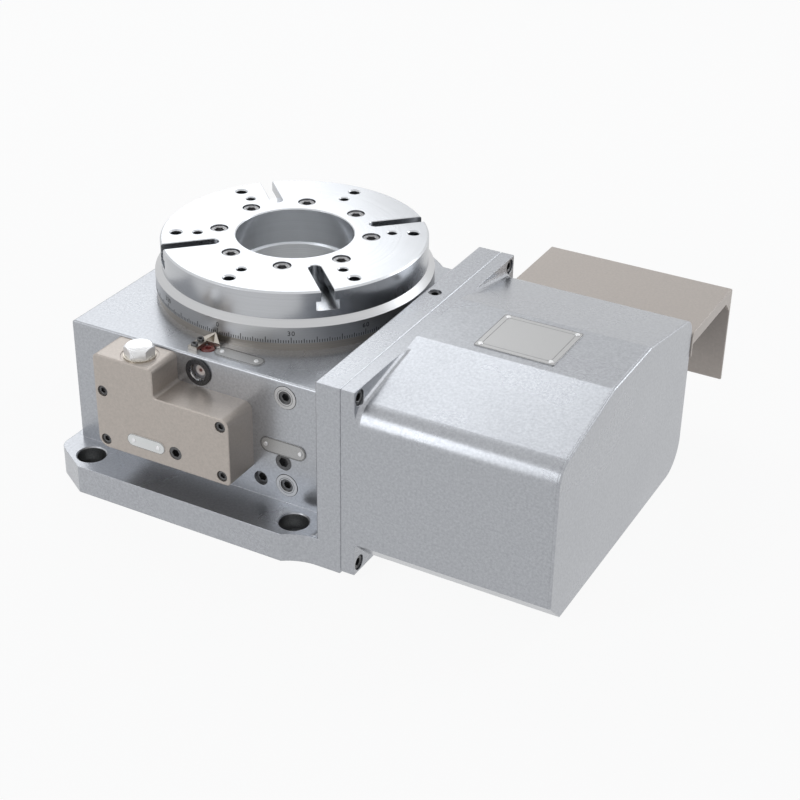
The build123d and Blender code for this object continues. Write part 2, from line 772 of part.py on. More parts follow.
# Table plate with T-slots, fixture holes and a through bore
with BuildPart() as table_plate:
    with BuildSketch(Plane.XY.offset(plate_bottom)):
        Circle(table_radius)
    extrude(amount=plate_thickness)
    chamfer(table_plate.edges().group_by(Axis.Z)[-1], plate_chamfer)
    with BuildSketch(Plane.XY.offset(plate_bottom)):
        Circle(ring_inner_radius - seat_gap)
    extrude(amount=-plate_hub_depth)
    with BuildSketch(Plane.XY.offset(spindle_top)):
        Circle(bore_radius)
    extrude(amount=table_top - spindle_top, mode=Mode.SUBTRACT)
    rim = table_plate.edges().group_by(Axis.Z)[-1]
    chamfer(rim.filter_by(lambda e: e.radius < table_radius / 2), edge_break)
    # T-slots from the rim to a round inner end
    slot_run = table_radius - slot_inner_radius + 10
    for width, low, high in (
        (slot_head_width, slot_bottom, slot_bottom + slot_head_height),
        (slot_width, slot_bottom, table_top),
    ):
        with BuildSketch(Plane.XY.offset(low)):
            with PolarLocations(slot_inner_radius, 4, 45):
                Circle(width / 2)
            with PolarLocations(slot_inner_radius + slot_run / 2, 4, 45):
                Rectangle(slot_run, width)
        extrude(amount=high - low, mode=Mode.SUBTRACT)
    slot_edges = table_plate.edges().filter_by(lambda e: abs(e.center().Z - table_top) < 0.01)
    slot_ends = slot_edges.filter_by(GeomType.CIRCLE).filter_by(lambda e: abs(e.radius - slot_width / 2) < 0.01)
    chamfer(slot_edges.filter_by(GeomType.LINE) + slot_ends, slot_chamfer)
    # Fixture holes with countersunk rims
    for circle, radius, countersink in (
        (fixture_outer_circle, fixture_outer_radius, fixture_outer_rim),
        (fixture_inner_circle, fixture_inner_radius, fixture_inner_rim),
    ):
        places = circle_places(circle, 6, 30)
        plain_holes(table_face, places, radius, fixture_depth)
        rims = table_plate.edges().filter_by(GeomType.CIRCLE)
        rims = rims.filter_by(lambda e: abs(e.center().Z - table_top) < 0.01)
        chamfer(rims.filter_by(lambda e: abs(e.radius - radius) < 0.01), countersink)
    screw_holes(table_face, table_screw_places, table_screw_size, table_top - spindle_top, table_screw_sink)
    plate_underside = underside.offset(-plate_bottom)
    ring_grip = ring_web - ring_screw_sink - ring_screw_size
    threaded_holes(
        plate_underside, ring_screw_places, ring_screw_size, ring_screw_length, ring_grip, ring_screw_spare
    )
export(table_plate, "table_plate", steel)
table_screws = socket_screws(
    table_face, table_screw_places, table_screw_size, table_screw_length, table_screw_sink
)
export(table_screws, "table_screws", black)

# Graduated ring under the plate
with BuildPart() as graduated_ring:
    add(turned([
        (ring_inner_radius, ring_web_bottom),
        (ring_inner_radius, plate_bottom),
        (table_radius, plate_bottom),
        (ring_radius, ring_shoulder),
        (ring_radius, ring_bottom),
        (ring_radius - ring_skirt, ring_bottom),
        (ring_radius - ring_skirt, ring_web_bottom),
    ]).part)
    web_face = underside.offset(-ring_web_bottom)
    screw_holes(web_face, ring_screw_places, ring_screw_size, ring_web, ring_screw_sink)
export(graduated_ring, "graduated_ring", steel)
ring_screws = socket_screws(web_face, ring_screw_places, ring_screw_size, ring_screw_length, ring_screw_sink)
export(ring_screws, "ring_screws", black)

# Hollow spindle with a groove in its bore
bore_groove_low = bore_groove_height - bore_groove_width / 2
bore_groove_high = bore_groove_height + bore_groove_width / 2
with BuildPart() as spindle:
    add(turned([
        (spindle_bore, spindle_bottom),
        (spindle_radius, spindle_bottom),
        (spindle_radius, bearing_top),
        (spindle_flange_radius, bearing_top),
        (spindle_flange_radius, spindle_top),
        (spindle_bore, spindle_top),
        (spindle_bore, bore_groove_high),
        (spindle_bore + bore_groove_width, bore_groove_high),
        (spindle_bore + bore_groove_width, bore_groove_low),
        (spindle_bore, bore_groove_low),
    ]).part)
    table_grip = table_top - spindle_top - table_screw_sink - table_screw_size
    spindle_face = Plane.XY.offset(spindle_top)
    threaded_holes(spindle_face, table_screw_places, table_screw_size, table_screw_length, table_grip)
    with Locations((spindle_radius - wheel_key_depth, 0, worm_height)):
        Box(wheel_key_depth + 1, wheel_key_width, wheel_face, align=(Align.MIN, Align.CENTER, Align.CENTER),
            mode=Mode.SUBTRACT)
export(spindle, "spindle", steel)

# Bearing: turning inner ring and lower washer, fixed outer ring, two thrust rows of rollers and one radial
spindle_seat = spindle_radius + seat_gap
inner_ring = turned([
    (spindle_seat, lower_race),
    (bearing_sleeve_radius, lower_race),
    (bearing_sleeve_radius, upper_race),
    (bearing_race_radius, upper_race),
    (bearing_race_radius, bearing_top),
    (spindle_seat, bearing_top),
])
export(inner_ring, "bearing_inner_ring", steel)
export(ring(spindle_seat, bearing_race_radius, wheel_hub_top, lower_race), "bearing_lower_washer", steel)

with BuildPart() as outer_ring:
    add(ring(bearing_ring_bore, bearing_seat_radius, outer_ring_bottom, outer_ring_top).part)
    ring_face = Plane.XY.offset(outer_ring_top)
    screw_holes(ring_face, bearing_screw_places, bearing_screw_size, bearing_ring_height, screw_sink)
export(outer_ring, "bearing_outer_ring", steel)

roller_circle = bearing_race_radius - roller_inset - roller_length / 2
radial_roller = (bearing_ring_bore - bearing_sleeve_radius) / 2 - roller_play
with BuildPart() as bearing_rollers:
    for diameter, low, high in (
        (upper_roller, outer_ring_top, upper_race),
        (lower_roller, lower_race, outer_ring_bottom),
    ):
        with Locations((0, 0, (low + high) / 2)):
            with PolarLocations(roller_circle, roller_count):
                Cylinder(diameter / 2, roller_length, rotation=(0, 90, 0))
    with BuildSketch(Plane.XY.offset(outer_ring_bottom + radial_roller_inset)):
        with PolarLocations((bearing_ring_bore + bearing_sleeve_radius) / 2, radial_roller_count):
            Circle(radial_roller)
    extrude(amount=bearing_ring_height - 2 * radial_roller_inset)
export(bearing_rollers, "bearing_rollers", steel)

# Worm wheel, its key and the locking nut under the brake disc
pitch_angle = 2 * math.pi / wheel_teeth
half_tooth = (math.pi * module_worm / 2 - 2 * flank_play) / 2
flank_slope = math.tan(math.radians(pressure_angle))
wheel_tip = wheel_pitch_radius + module_worm
wheel_root = wheel_pitch_radius - 1.25 * module_worm
tip_angle = (half_tooth - module_worm * flank_slope) / wheel_tip
root_angle = (half_tooth + 1.25 * module_worm * flank_slope) / wheel_root
wheel_corners = []
for tooth in range(wheel_teeth):
    for radius, shift in (
        (wheel_root, -root_angle), (wheel_tip, -tip_angle), (wheel_tip, tip_angle), (wheel_root, root_angle)
    ):
        angle = tooth * pitch_angle + shift
        wheel_corners.append((radius * math.cos(angle), radius * math.sin(angle)))

with BuildPart() as worm_wheel:
    add(ring(spindle_seat, bearing_sleeve_radius, disc_top, wheel_hub_top).part)
    with BuildSketch(Plane.XY.offset(worm_height - wheel_face / 2)):
        with BuildLine():
            Polyline(*wheel_corners, close=True)
        make_face()
        Circle(spindle_seat, mode=Mode.SUBTRACT)
    extrude(amount=wheel_face)
    with Locations((spindle_radius - 1, 0, worm_height)):
        Box(wheel_key_depth + 1, wheel_key_width, wheel_face, align=(Align.MIN, Align.CENTER, Align.CENTER),
            mode=Mode.SUBTRACT)
export(worm_wheel, "worm_wheel", bronze)

with BuildPart() as wheel_key:
    with Locations((spindle_radius - wheel_key_depth + seat_gap, 0, worm_height)):
        Box(2 * wheel_key_depth - 2 * seat_gap, wheel_key_width - 2 * seat_gap, wheel_face - 2 * seat_gap,
            align=(Align.MIN, Align.CENTER, Align.CENTER))
export(wheel_key, "wheel_key", steel)

with BuildPart() as spindle_nut:
    add(ring(spindle_seat, spindle_nut_radius, nut_bottom, disc_bottom).part)
    with BuildSketch(Plane.XY.offset(nut_bottom)):
        with PolarLocations(spindle_nut_radius, 6):
            Rectangle(2 * spindle_nut_slot_depth, spindle_nut_slot)
    extrude(amount=spindle_nut_height, mode=Mode.SUBTRACT)
export(spindle_nut, "spindle_nut", steel)

# Brake: the disc turns with the spindle between the fixed stator and the piston
export(ring(spindle_seat, brake_disc_radius, disc_bottom, disc_top), "brake_disc", steel)
export(ring(brake_bore_inner, brake_seat_radius, stator_bottom, stator_top), "brake_stator", cast)

brake_cylinder = turned([
    (brake_wall_inner, base_cover_thickness),
    (brake_seat_radius, base_cover_thickness),
    (brake_seat_radius, stator_bottom),
    (brake_bore_outer, stator_bottom),
    (brake_bore_outer, cylinder_floor),
    (brake_bore_inner, cylinder_floor),
    (brake_bore_inner, piston_top - 2 * brake_free_gap),
    (brake_wall_inner, piston_top - 2 * brake_free_gap),
])
export(brake_cylinder, "brake_cylinder", cast)

groove_low = piston_bottom + piston_groove_rise
groove_high = groove_low + piston_groove_width
piston_outer = brake_bore_outer - run_gap
piston_inner = brake_bore_inner + run_gap
brake_piston = turned([
    (piston_inner, piston_bottom),
    (piston_outer, piston_bottom),
    (piston_outer, groove_low),
    (piston_outer - piston_groove_depth, groove_low),
    (piston_outer - piston_groove_depth, groove_high),
    (piston_outer, groove_high),
    (piston_outer, piston_top),
    (piston_inner, piston_top),
    (piston_inner, groove_high),
    (piston_inner + piston_groove_depth, groove_high),
    (piston_inner + piston_groove_depth, groove_low),
    (piston_inner, groove_low),
])
export(brake_piston, "brake_piston", steel)

seal_low = groove_low + seat_gap
seal_high = groove_high - seat_gap
outer_groove = piston_outer - piston_groove_depth + seat_gap
inner_groove = piston_inner + piston_groove_depth - seat_gap
with BuildPart() as piston_seals:
    add(ring(outer_groove, brake_bore_outer - seat_gap, seal_low, seal_high).part)
    add(ring(brake_bore_inner + seat_gap, inner_groove, seal_low, seal_high).part)
export(piston_seals, "piston_seals", black)

# Worm shaft with a single right-hand thread, which crosses the wheel's side at X = 0
thread_start = -(worm_turns // 2 - 0.25) * worm_pitch
thread_root = worm_tip_radius - worm_root_radius
worm_half = worm_pitch / 4
shaft_start = left_bearing_start - worm_nut_width
stub_end = motor_plate_start - shaft_end_gap
with BuildPart() as worm_shaft:
    with BuildLine():
        helix = Helix(
            worm_pitch,
            worm_turns * worm_pitch,
            worm_root_radius,
            center=(thread_start, worm_y, worm_height),
            direction=(1, 0, 0),
        )
    outward = ((helix @ 0) - Vector(thread_start, worm_y, worm_height)).normalized()
    root_half = worm_half + (1.25 * module_worm + thread_overlap) * flank_slope
    tip_half = worm_half - module_worm * flank_slope
    with BuildSketch(Plane(origin=helix @ 0, x_dir=outward, z_dir=helix % 0)):
        with BuildLine():
            Polyline(
                (-thread_overlap, -root_half),
                (thread_root, -tip_half),
                (thread_root, tip_half),
                (-thread_overlap, root_half),
                close=True,
            )
        make_face()
    sweep(path=helix, is_frenet=True)
    for radius, start, end in (
        (shaft_radius, shaft_start, left_bearing_end),
        (worm_root_radius, left_bearing_end, right_bearing_start),
        (shaft_radius, right_bearing_start, gear_start),
        (stub_radius, gear_start, stub_end),
    ):
        with BuildSketch(across(start)):
            with Locations((worm_y, worm_height)):
                Circle(radius)
        extrude(amount=end - start)
export(worm_shaft, "worm_shaft", steel)

# Worm bearings: a pair at the left and one at the right
bearing_starts = (left_bearing_start, left_bearing_start + worm_bearing_width, right_bearing_start)
outer_race = worm_seat_radius - worm_ring_thickness
inner_race = outer_race - worm_ball_space
race_middle = (inner_race + outer_race) / 2
with BuildPart() as worm_bearing_outers:
    for start in bearing_starts:
        end = start + worm_bearing_width
        add(ring_across(outer_race, worm_seat_radius, start, end, worm_y, worm_height).part)
export(worm_bearing_outers, "worm_bearing_outers", steel)
with BuildPart() as worm_bearing_inners:
    for start in bearing_starts:
        end = start + worm_bearing_width
        add(ring_across(shaft_radius + seat_gap, inner_race, start, end, worm_y, worm_height).part)
export(worm_bearing_inners, "worm_bearing_inners", steel)
with BuildPart() as worm_bearing_balls:
    for start in bearing_starts:
        for y, z in circle_places(race_middle, worm_ball_count):
            with Locations((start + worm_bearing_width / 2, worm_y + y, worm_height + z)):
                Sphere((outer_race - inner_race) / 2 - roller_play)
export(worm_bearing_balls, "worm_bearing_balls", steel)

# Caps over the worm's bearings
with BuildPart() as worm_end_cap:
    with BuildSketch(left_face):
        with Locations(*worm_left):
            Circle(worm_cap_radius)
    extrude(amount=-worm_cap_thickness)
    screw_holes(left_face, left_cap_places, cap_screw_size, worm_cap_thickness, screw_sink)
export(worm_end_cap, "worm_end_cap", cast)

seal_cap_end = wall_right + seal_cap_thickness
cap_ring_bore = outer_race - worm_ring_thickness
with BuildPart() as worm_seal_cap:
    add(ring_across(seal_cap_bore, worm_cap_radius, wall_right, seal_cap_end, worm_y, worm_height).part)
    add(ring_across(cap_ring_bore, worm_seat_radius, right_bearing_end, wall_right, worm_y, worm_height).part)
    plain_holes(across(seal_cap_end), seal_cap_places, seal_cap_screw_size / 2 + seat_gap, seal_cap_thickness)
export(worm_seal_cap, "worm_seal_cap", cast)

# Gear pair
gear_corners = gear_outline(module_gear, gear_teeth, gear_backlash, (worm_y, worm_height), mesh_angle)
pinion_turn = mesh_angle + 180 + 180 / pinion_teeth
pinion_corners = gear_outline(module_gear, pinion_teeth, gear_backlash, (motor_y, motor_z), pinion_turn)


def gear(corners, centre, bore, start, width):
    """A spur gear with its outline given, on a line along X."""
    with BuildPart() as piece:
        with BuildSketch(across(start)):
            with BuildLine():
                Polyline(*corners, close=True)
            make_face()
            with Locations(centre):
                Circle(bore, mode=Mode.SUBTRACT)
        extrude(amount=width)
    return piece


gear_centre = (worm_y, worm_height)
motor_centre = (motor_y, motor_z)
driven_gear = gear(gear_corners, gear_centre, stub_radius + seat_gap, gear_start, gear_face)
export(driven_gear, "driven_gear", steel)
pinion_start = gear_start - pinion_margin
pinion_face = gear_face + 2 * pinion_margin
pinion = gear(pinion_corners, motor_centre, motor_shaft_radius + seat_gap, pinion_start, pinion_face)
export(pinion, "motor_pinion", steel)

with BuildPart() as shaft_nuts:
    left_end = shaft_start + worm_nut_width
    add(ring_across(shaft_radius + seat_gap, worm_nut_radius, shaft_start, left_end, worm_y, worm_height).part)
    nut_end = stub_end - screw_sink
    add(ring_across(stub_radius + seat_gap, gear_nut_radius, gear_end, nut_end, worm_y, worm_height).part)
export(shaft_nuts, "shaft_nuts", steel)

# Motor on a plate that stands on four pillars
motor_shaft_start = pinion_start - 2 * pinion_margin
with BuildPart() as motor_shaft:
    with BuildSketch(across(motor_shaft_start)):
        with Locations(motor_centre):
            Circle(motor_shaft_radius)
    extrude(amount=motor_body_start + motor_shaft_inset - motor_shaft_start)
export(motor_shaft, "motor_shaft", steel)

plate_low = (pillar_places[0][0] - plate_margin, pillar_places[0][1] - plate_margin)
motor_hole_radius = motor_screw_size / 2 + seat_gap
plate_high = (pillar_places[-1][0] + plate_margin, pillar_places[-1][1] + plate_margin)
with BuildPart() as motor_plate:
    with BuildSketch(across(motor_plate_start)) as plate_outline:
        with Locations(plate_low):
            Rectangle(plate_high[0] - plate_low[0], plate_high[1] - plate_low[1], align=min_corner)
        chamfer(plate_outline.vertices(), plate_chamfer_run)
    extrude(amount=motor_plate_thickness)
    pilot_bore = motor_pilot_radius + seat_gap
    plain_holes(across(motor_flange_start), [motor_centre], pilot_bore, motor_plate_thickness)
    plain_holes(across(motor_flange_start), motor_screw_places, motor_hole_radius, motor_plate_thickness)
    plain_holes(across(motor_flange_start), pillar_places, motor_hole_radius, motor_plate_thickness)
export(motor_plate, "motor_plate", steel)

with BuildPart() as motor_pillars:
    with BuildSketch(across(wall_right)):
        with Locations(*pillar_places):
            Circle(pillar_radius)
    extrude(amount=motor_plate_start - wall_right)
    with BuildSketch(across(wall_right)):
        with Locations(*pillar_places):
            Circle(pillar_stud_radius)
    extrude(amount=-pillar_stud_length)
    threaded_holes(
        across(motor_plate_start), pillar_places, motor_screw_size, pillar_screw_length, motor_plate_thickness
    )
export(motor_pillars, "motor_pillars", steel)

with BuildPart() as motor_flange:
    with BuildSketch(across(motor_flange_start)):
        with Locations(motor_centre):
            RectangleRounded(motor_size, motor_size, motor_corner_radius)
            Circle(motor_shaft_radius + motor_bore_gap, mode=Mode.SUBTRACT)
    extrude(amount=motor_flange_thickness)
    with BuildSketch(across(motor_flange_start)):
        with Locations(motor_centre):
            Circle(motor_pilot_radius)
            Circle(motor_shaft_radius + motor_bore_gap, mode=Mode.SUBTRACT)
    extrude(amount=-motor_pilot_depth)
    plain_holes(across(motor_body_start), motor_screw_places, motor_hole_radius, motor_flange_thickness)
export(motor_flange, "motor_flange", black)

head_radius = head_ratio * motor_screw_size
body_corner = motor_body_flat - 2 * motor_screw_reach + math.sqrt(2) * (head_radius + motor_head_room)
with BuildPart() as motor_body:
    with BuildSketch(across(motor_body_start)):
        with BuildSketch(mode=Mode.PRIVATE) as body_square:
            Rectangle(motor_body_flat, motor_body_flat)
            chamfer(body_square.vertices(), body_corner)
        with Locations(motor_centre):
            add(body_square.sketch)
    extrude(amount=motor_body_length)
    shaft_bore = motor_shaft_radius + motor_bore_gap
    plain_holes(across(motor_body_start), [motor_centre], shaft_bore, -motor_bore_depth)
export(motor_body, "motor_body", black)

with BuildPart() as motor_rear_cap:
    with BuildSketch(across(motor_cap_start)):
        with Locations(motor_centre):
            RectangleRounded(motor_cap_size, motor_cap_size, motor_corner_radius)
    extrude(amount=motor_cap_length)
    fillet(motor_rear_cap.edges().group_by(Axis.X)[-1], 4 * edge_break)
export(motor_rear_cap, "motor_rear_cap", black)

# Motor cover: a flange on the wall and a hollow box with sloped shoulders
cover_corners = [
    (-wall_front, cover_bottom + cover_lower_chamfer),
    (-wall_front, cover_top - cover_front_drop),
    (cover_front_fold, cover_top),
    (cover_back_fold, cover_top),
    (cover_back, cover_top - cover_back_drop),
    (cover_back, cover_bottom),
    (-wall_front + cover_lower_chamfer, cover_bottom),
]
corner_radii = (
    cover_front_radius,
    cover_fold_radius,
    cover_fold_radius,
    cover_back_radius,
    cover_lower_radius,
)
with BuildSketch() as cover_outline:
    with BuildLine():
        Polyline(*cover_corners, close=True)
    make_face()
    for corner, radius in zip(cover_corners[1:6], corner_radii):
        fillet(cover_outline.vertices().sort_by_distance(corner)[0], radius)


def cover_loop(x, outset):
    """The cover's outline at a place along X, moved outwards or, below zero, inwards."""
    with BuildSketch(across(x)) as loop:
        add(cover_outline.sketch)
        if outset:
            offset(amount=outset, kind=Kind.INTERSECTION)
    return loop.sketch


with BuildPart() as cover_root:
    for step in range(root_steps):
        near, far = (math.radians(90 * (step + i) / root_steps) for i in (0, 1))
        loft([
            cover_loop(
                flange_face + cover_root_radius * (1 - math.cos(angle)), cover_root_radius * (1 - math.sin(angle))
            )
            for angle in (near, far)
        ], ruled=True)
    with BuildSketch(across(flange_face)):
        with Locations((-wall_front, flange_bottom)):
            Rectangle(wall_front + cover_back, wall_height - flange_bottom, align=min_corner)
    extrude(amount=cover_root_radius, mode=Mode.INTERSECT)

with BuildPart() as motor_cover:
    with BuildSketch(across(wall_right)):
        with Locations((-wall_front, flange_bottom)):
            Rectangle(wall_front + wall_back, wall_height - flange_bottom, align=min_corner)
    extrude(amount=flange_thickness)
    chamfer(motor_cover.edges().group_by(Axis.X)[0], flange_chamfer)
    extrude(cover_loop(flange_face, 0), amount=cover_end - flange_face)
    add(cover_root.part)
    extrude(cover_loop(wall_right, -cover_wall), amount=cover_end - wall_right, mode=Mode.SUBTRACT)
    # Bosses that hold the end plate's studs
    with BuildSketch(across(cover_end)):
        with Locations(*stud_places):
            Circle(stud_boss_radius)
    extrude(amount=-stud_boss_length)
    plain_holes(across(cover_end), stud_places, stud_radius + seat_gap, stud_boss_length)
    spot_depth = cover_root_radius + flange_spot_depth
    plain_holes(across(flange_face + cover_root_radius), flange_screw_places, flange_spot_radius, spot_depth)
    plain_holes(across(flange_face), flange_screw_places, flange_screw_size / 2 + seat_gap, flange_thickness)
    plain_holes(cover_back_plane, connector_places, connector_tail_radius + seat_gap, 2 * cover_wall)
    plain_holes(cover_back_plane, connector_screw_places, connector_screw_size / 2 + seat_gap, 2 * cover_wall)
    plain_holes(cover_back_plane, hood_screw_places, hood_screw_size / 2 + seat_gap, 2 * cover_wall)
    plain_holes(cover_top_plane, nameplate_rivet_places, rivet_stem_radius + seat_gap, 2 * cover_wall)
export(motor_cover, "motor_cover", painted)

with BuildPart() as end_plate:
    extrude(cover_loop(cover_end, 0), amount=end_plate_thickness)
    fillet(end_plate.edges().group_by(Axis.X)[-1], end_plate_radius)
export(end_plate, "end_plate", painted)

with BuildPart() as cover_studs:
    with BuildSketch(across(cover_end)):
        with Locations(*stud_places):
            Circle(stud_radius)
    extrude(amount=-stud_boss_length - stud_nut_height - stud_end)
export(cover_studs, "cover_studs", steel)

with BuildPart() as stud_nuts:
    with BuildSketch(across(cover_end - stud_boss_length)):
        with Locations(*stud_places):
            RegularPolygon(radius=stud_nut_size, side_count=6)
            Circle(stud_radius + seat_gap, mode=Mode.SUBTRACT)
    extrude(amount=-stud_nut_height)
export(stud_nuts, "stud_nuts", steel)

# Connectors on the cover's back, and the hood over them
with BuildPart() as connectors:
    with BuildSketch(cover_back_plane):
        with Locations(*connector_places):
            RectangleRounded(connector_plate, connector_plate, connector_plate_corner)
    extrude(amount=connector_plate_thickness)
    for radius, start, length in (
        (connector_tail_radius, 0, -2 * cover_wall),
        (connector_barrel_radius, connector_plate_thickness, connector_barrel_length),
        (connector_nut_radius, connector_nut_start, connector_nut_length),
    ):
        with BuildSketch(cover_back_plane.offset(start)):
            with Locations(*connector_places):
                Circle(radius)
        extrude(amount=length)
    connector_face = cover_back_plane.offset(connector_plate_thickness)
    hole_radius = connector_screw_size / 2 + seat_gap
    plain_holes(connector_face, connector_screw_places, hole_radius, connector_plate_thickness)
export(connectors, "connectors", black)

hood_front = cover_back
lip_low = hood_top - hood_lip
inner_bend = hood_bend - hood_sheet
hood_length = hood_right - hood_left
hood_depth = hood_back - hood_front
hood_height = hood_top - hood_bottom
with BuildPart() as connector_hood:
    with BuildSketch(across(hood_left)) as hood_outer:
        with Locations((hood_front, hood_bottom)):
            Rectangle(hood_depth, hood_height, align=min_corner)
        fillet(hood_outer.vertices().group_by(Axis.Y)[-1], hood_bend)
    extrude(amount=hood_length)
    with BuildSketch(across(hood_left)) as hood_inner:
        with Locations((hood_front + hood_sheet, hood_bottom)):
            Rectangle(hood_depth - 2 * hood_sheet, hood_height - hood_sheet, align=min_corner)
        fillet(hood_inner.vertices().group_by(Axis.Y)[-1], inner_bend)
    extrude(amount=hood_length, mode=Mode.SUBTRACT)
    with BuildSketch(across(hood_left)):
        with Locations((hood_front, hood_bottom)):
            Rectangle(hood_sheet, hood_top - hood_flange - hood_bottom, align=min_corner)
    extrude(amount=hood_length, mode=Mode.SUBTRACT)
    # Turned-down lips along both ends, widening into a gusset at the back
    for start in (hood_left, hood_right - hood_sheet):
        with BuildSketch(across(start)):
            with BuildLine():
                Polyline(
                    (hood_front, hood_top - hood_bend),
                    (hood_front, lip_low),
                    (hood_back - hood_gusset, lip_low),
                    (hood_back - hood_sheet / 2, lip_low - hood_gusset + hood_sheet / 2),
                    (hood_back - hood_sheet / 2, hood_top - hood_bend),
                    (hood_back - hood_bend, hood_top - hood_sheet / 2),
                    (hood_front + hood_bend, hood_top - hood_sheet / 2),
                    close=True,
                )
            make_face()
        extrude(amount=hood_sheet)
    # Notch round the motor cover's flange
    with Locations((hood_left, hood_front, hood_bottom)):
        Box(flange_face + hood_notch - hood_left, wall_back + hood_notch - hood_front, hood_top - hood_bottom,
            align=(Align.MIN, Align.MIN, Align.MIN), mode=Mode.SUBTRACT)
    hood_flange_face = cover_back_plane.offset(hood_sheet)
    plain_holes(hood_flange_face, hood_screw_places, hood_screw_size / 2 + seat_gap, hood_sheet)
export(connector_hood, "connector_hood", taupe)

# Manifold block on the front face, stepped down towards the right
with BuildPart() as manifold_block:
    with BuildSketch(front_face) as block_outline:
        with BuildLine():
            Polyline(
                (block_left, block_bottom),
                (block_left, block_top),
                (block_step, block_top),
                (block_step, block_step_height),
                (block_right, block_step_height),
                (block_right, block_bottom),
                close=True,
            )
        make_face()
        for corner, radius in (
            ((block_left, block_top), 5.0),
            ((block_step, block_top), 5.0),
            ((block_step, block_step_height), 3.5),
            ((block_right, block_step_height), 8.0),
            ((block_left, block_bottom), 10.0),
            ((block_right, block_bottom), 4.0),
        ):
            fillet(block_outline.vertices().sort_by_distance(corner)[0], radius)
    extrude(amount=block_depth)
    chamfer(manifold_block.edges().group_by(Axis.Y)[0], fine_break)
    screw_holes(block_face, block_screw_places, block_screw_size, block_depth, block_screw_sink)
    plug_hole = long_plug_length + 2 * thread_spare
    plain_holes(block_face, [block_plug_place], block_plug_radius + seat_gap, plug_hole)
    plain_holes(block_top_plane, [port_plug_place], port_spot_radius, port_spot_depth)
    port_depth = port_plug_depth + thread_spare
    plain_holes(block_top_plane, [port_plug_place], port_plug_radius + seat_gap, port_depth)
    label_x, label_z = block_label_place
    block_rivet_places = [(label_x - block_rivet_reach, label_z), (label_x + block_rivet_reach, label_z)]
    plain_holes(block_face, block_rivet_places, rivet_stem_radius + seat_gap, rivet_stem)
export(manifold_block, "manifold_block", tan)

port_seat = block_top_plane.offset(-port_spot_depth)
with BuildPart() as port_washer:
    with BuildSketch(port_seat):
        with Locations(port_plug_place):
            Circle(port_washer_radius)
            Circle(port_plug_radius + seat_gap, mode=Mode.SUBTRACT)
    extrude(amount=port_washer_thickness)
export(port_washer, "port_plug_washer", bronze)

with BuildPart() as port_plug:
    with BuildSketch(port_seat.offset(port_washer_thickness)):
        with Locations(port_plug_place):
            RegularPolygon(radius=port_plug_flats / 2, side_count=6, major_radius=False)
    extrude(amount=port_plug_head)
    chamfer(port_plug.edges().group_by(Axis.Z)[-1], fine_break)
    with BuildSketch(port_seat.offset(port_washer_thickness)):
        with Locations(port_plug_place):
            Circle(port_plug_radius)
    extrude(amount=-port_plug_depth)
export(port_plug, "port_plug", pale)

# Flush and sunk socket plugs: place, radius, length and depth below the face
with BuildPart() as socket_plugs:
    for plane, places, radius, length, sunk in (
        (front_face, [drain_plug_place], drain_plug_radius, plug_length, 0.3),
        (front_face, [tapped_plug_place], tapped_plug_radius - seat_gap, plug_length, 3.0),
        (front_face, port_places, port_bore - seat_gap, plug_length, 1.0),
        (block_face, [block_plug_place], block_plug_radius, long_plug_length, 0.5),
        (wall_top, [wall_plug_place], wall_plug_radius, long_plug_length, 1.5),
    ):
        add(flush_plugs(plane, places, radius, length, sunk).part)
export(socket_plugs, "socket_plugs", black)

with BuildPart() as port_bushes:
    with BuildSketch(front_face.offset(port_bush_rise)):
        with Locations(*port_places):
            Circle(port_radius)
            Circle(port_bore, mode=Mode.SUBTRACT)
    extrude(amount=-port_bush_depth)
export(port_bushes, "port_bushes", steel)

# Sight glass: bezel, lens and reflector
glass_bore = sight_glass_radius - bezel_width
with BuildPart() as sight_glass_bezel:
    with BuildSketch(front_face):
        with Locations(sight_glass_place):
            Circle(sight_glass_radius)
    extrude(amount=bezel_height)
    chamfer(sight_glass_bezel.edges().group_by(Axis.Y)[0], slot_chamfer)
    with BuildSketch(front_face):
        with Locations(sight_glass_place):
            Circle(bezel_radius)
    extrude(amount=-bezel_depth)
    bezel_face = front_face.offset(bezel_height)
    plain_holes(bezel_face, [sight_glass_place], glass_bore, bezel_height + 2 * bezel_depth)
export(sight_glass_bezel, "sight_glass_bezel", black)


def glass_disc(start, thickness):
    """A disc that fits the sight glass's bore."""
    with BuildPart() as disc:
        with BuildSketch(front_face.offset(start)):
            with Locations(sight_glass_place):
                Circle(glass_bore - seat_gap)
        extrude(amount=-thickness)
    return disc


export(glass_disc(lens_top, lens_thickness), "sight_glass_lens", pale)
export(glass_disc(-reflector_depth, reflector_thickness), "sight_glass_reflector", steel)

# Labels and their rivets
with BuildPart() as oblong_labels:
    for plane, place, (length, height) in (
        (front_face, front_label_place, front_label_size),
        (body_top, top_label_place, top_label_size),
    ):
        with BuildSketch(plane):
            with Locations(place):
                SlotOverall(length, height)
            with Locations((place[0] - rivet_reach, place[1]), (place[0] + rivet_reach, place[1])):
                Circle(rivet_stem_radius + seat_gap, mode=Mode.SUBTRACT)
        extrude(amount=label_thickness)
export(oblong_labels, "oblong_labels", pale)

with BuildPart() as block_label:
    with BuildSketch(block_face):
        with Locations(block_label_place):
            SlotOverall(*block_label_size)
        with Locations(*block_rivet_places):
            Circle(rivet_stem_radius + seat_gap, mode=Mode.SUBTRACT)
    extrude(amount=label_thickness)
export(block_label, "block_label", pale)

with BuildPart() as nameplate:
    with BuildSketch(cover_top_plane):
        with Locations(nameplate_place):
            RectangleRounded(nameplate_length, nameplate_width, nameplate_corner)
        with Locations(*nameplate_rivet_places):
            Circle(rivet_stem_radius + seat_gap, mode=Mode.SUBTRACT)
    extrude(amount=label_thickness)
export(nameplate, "nameplate", pale)

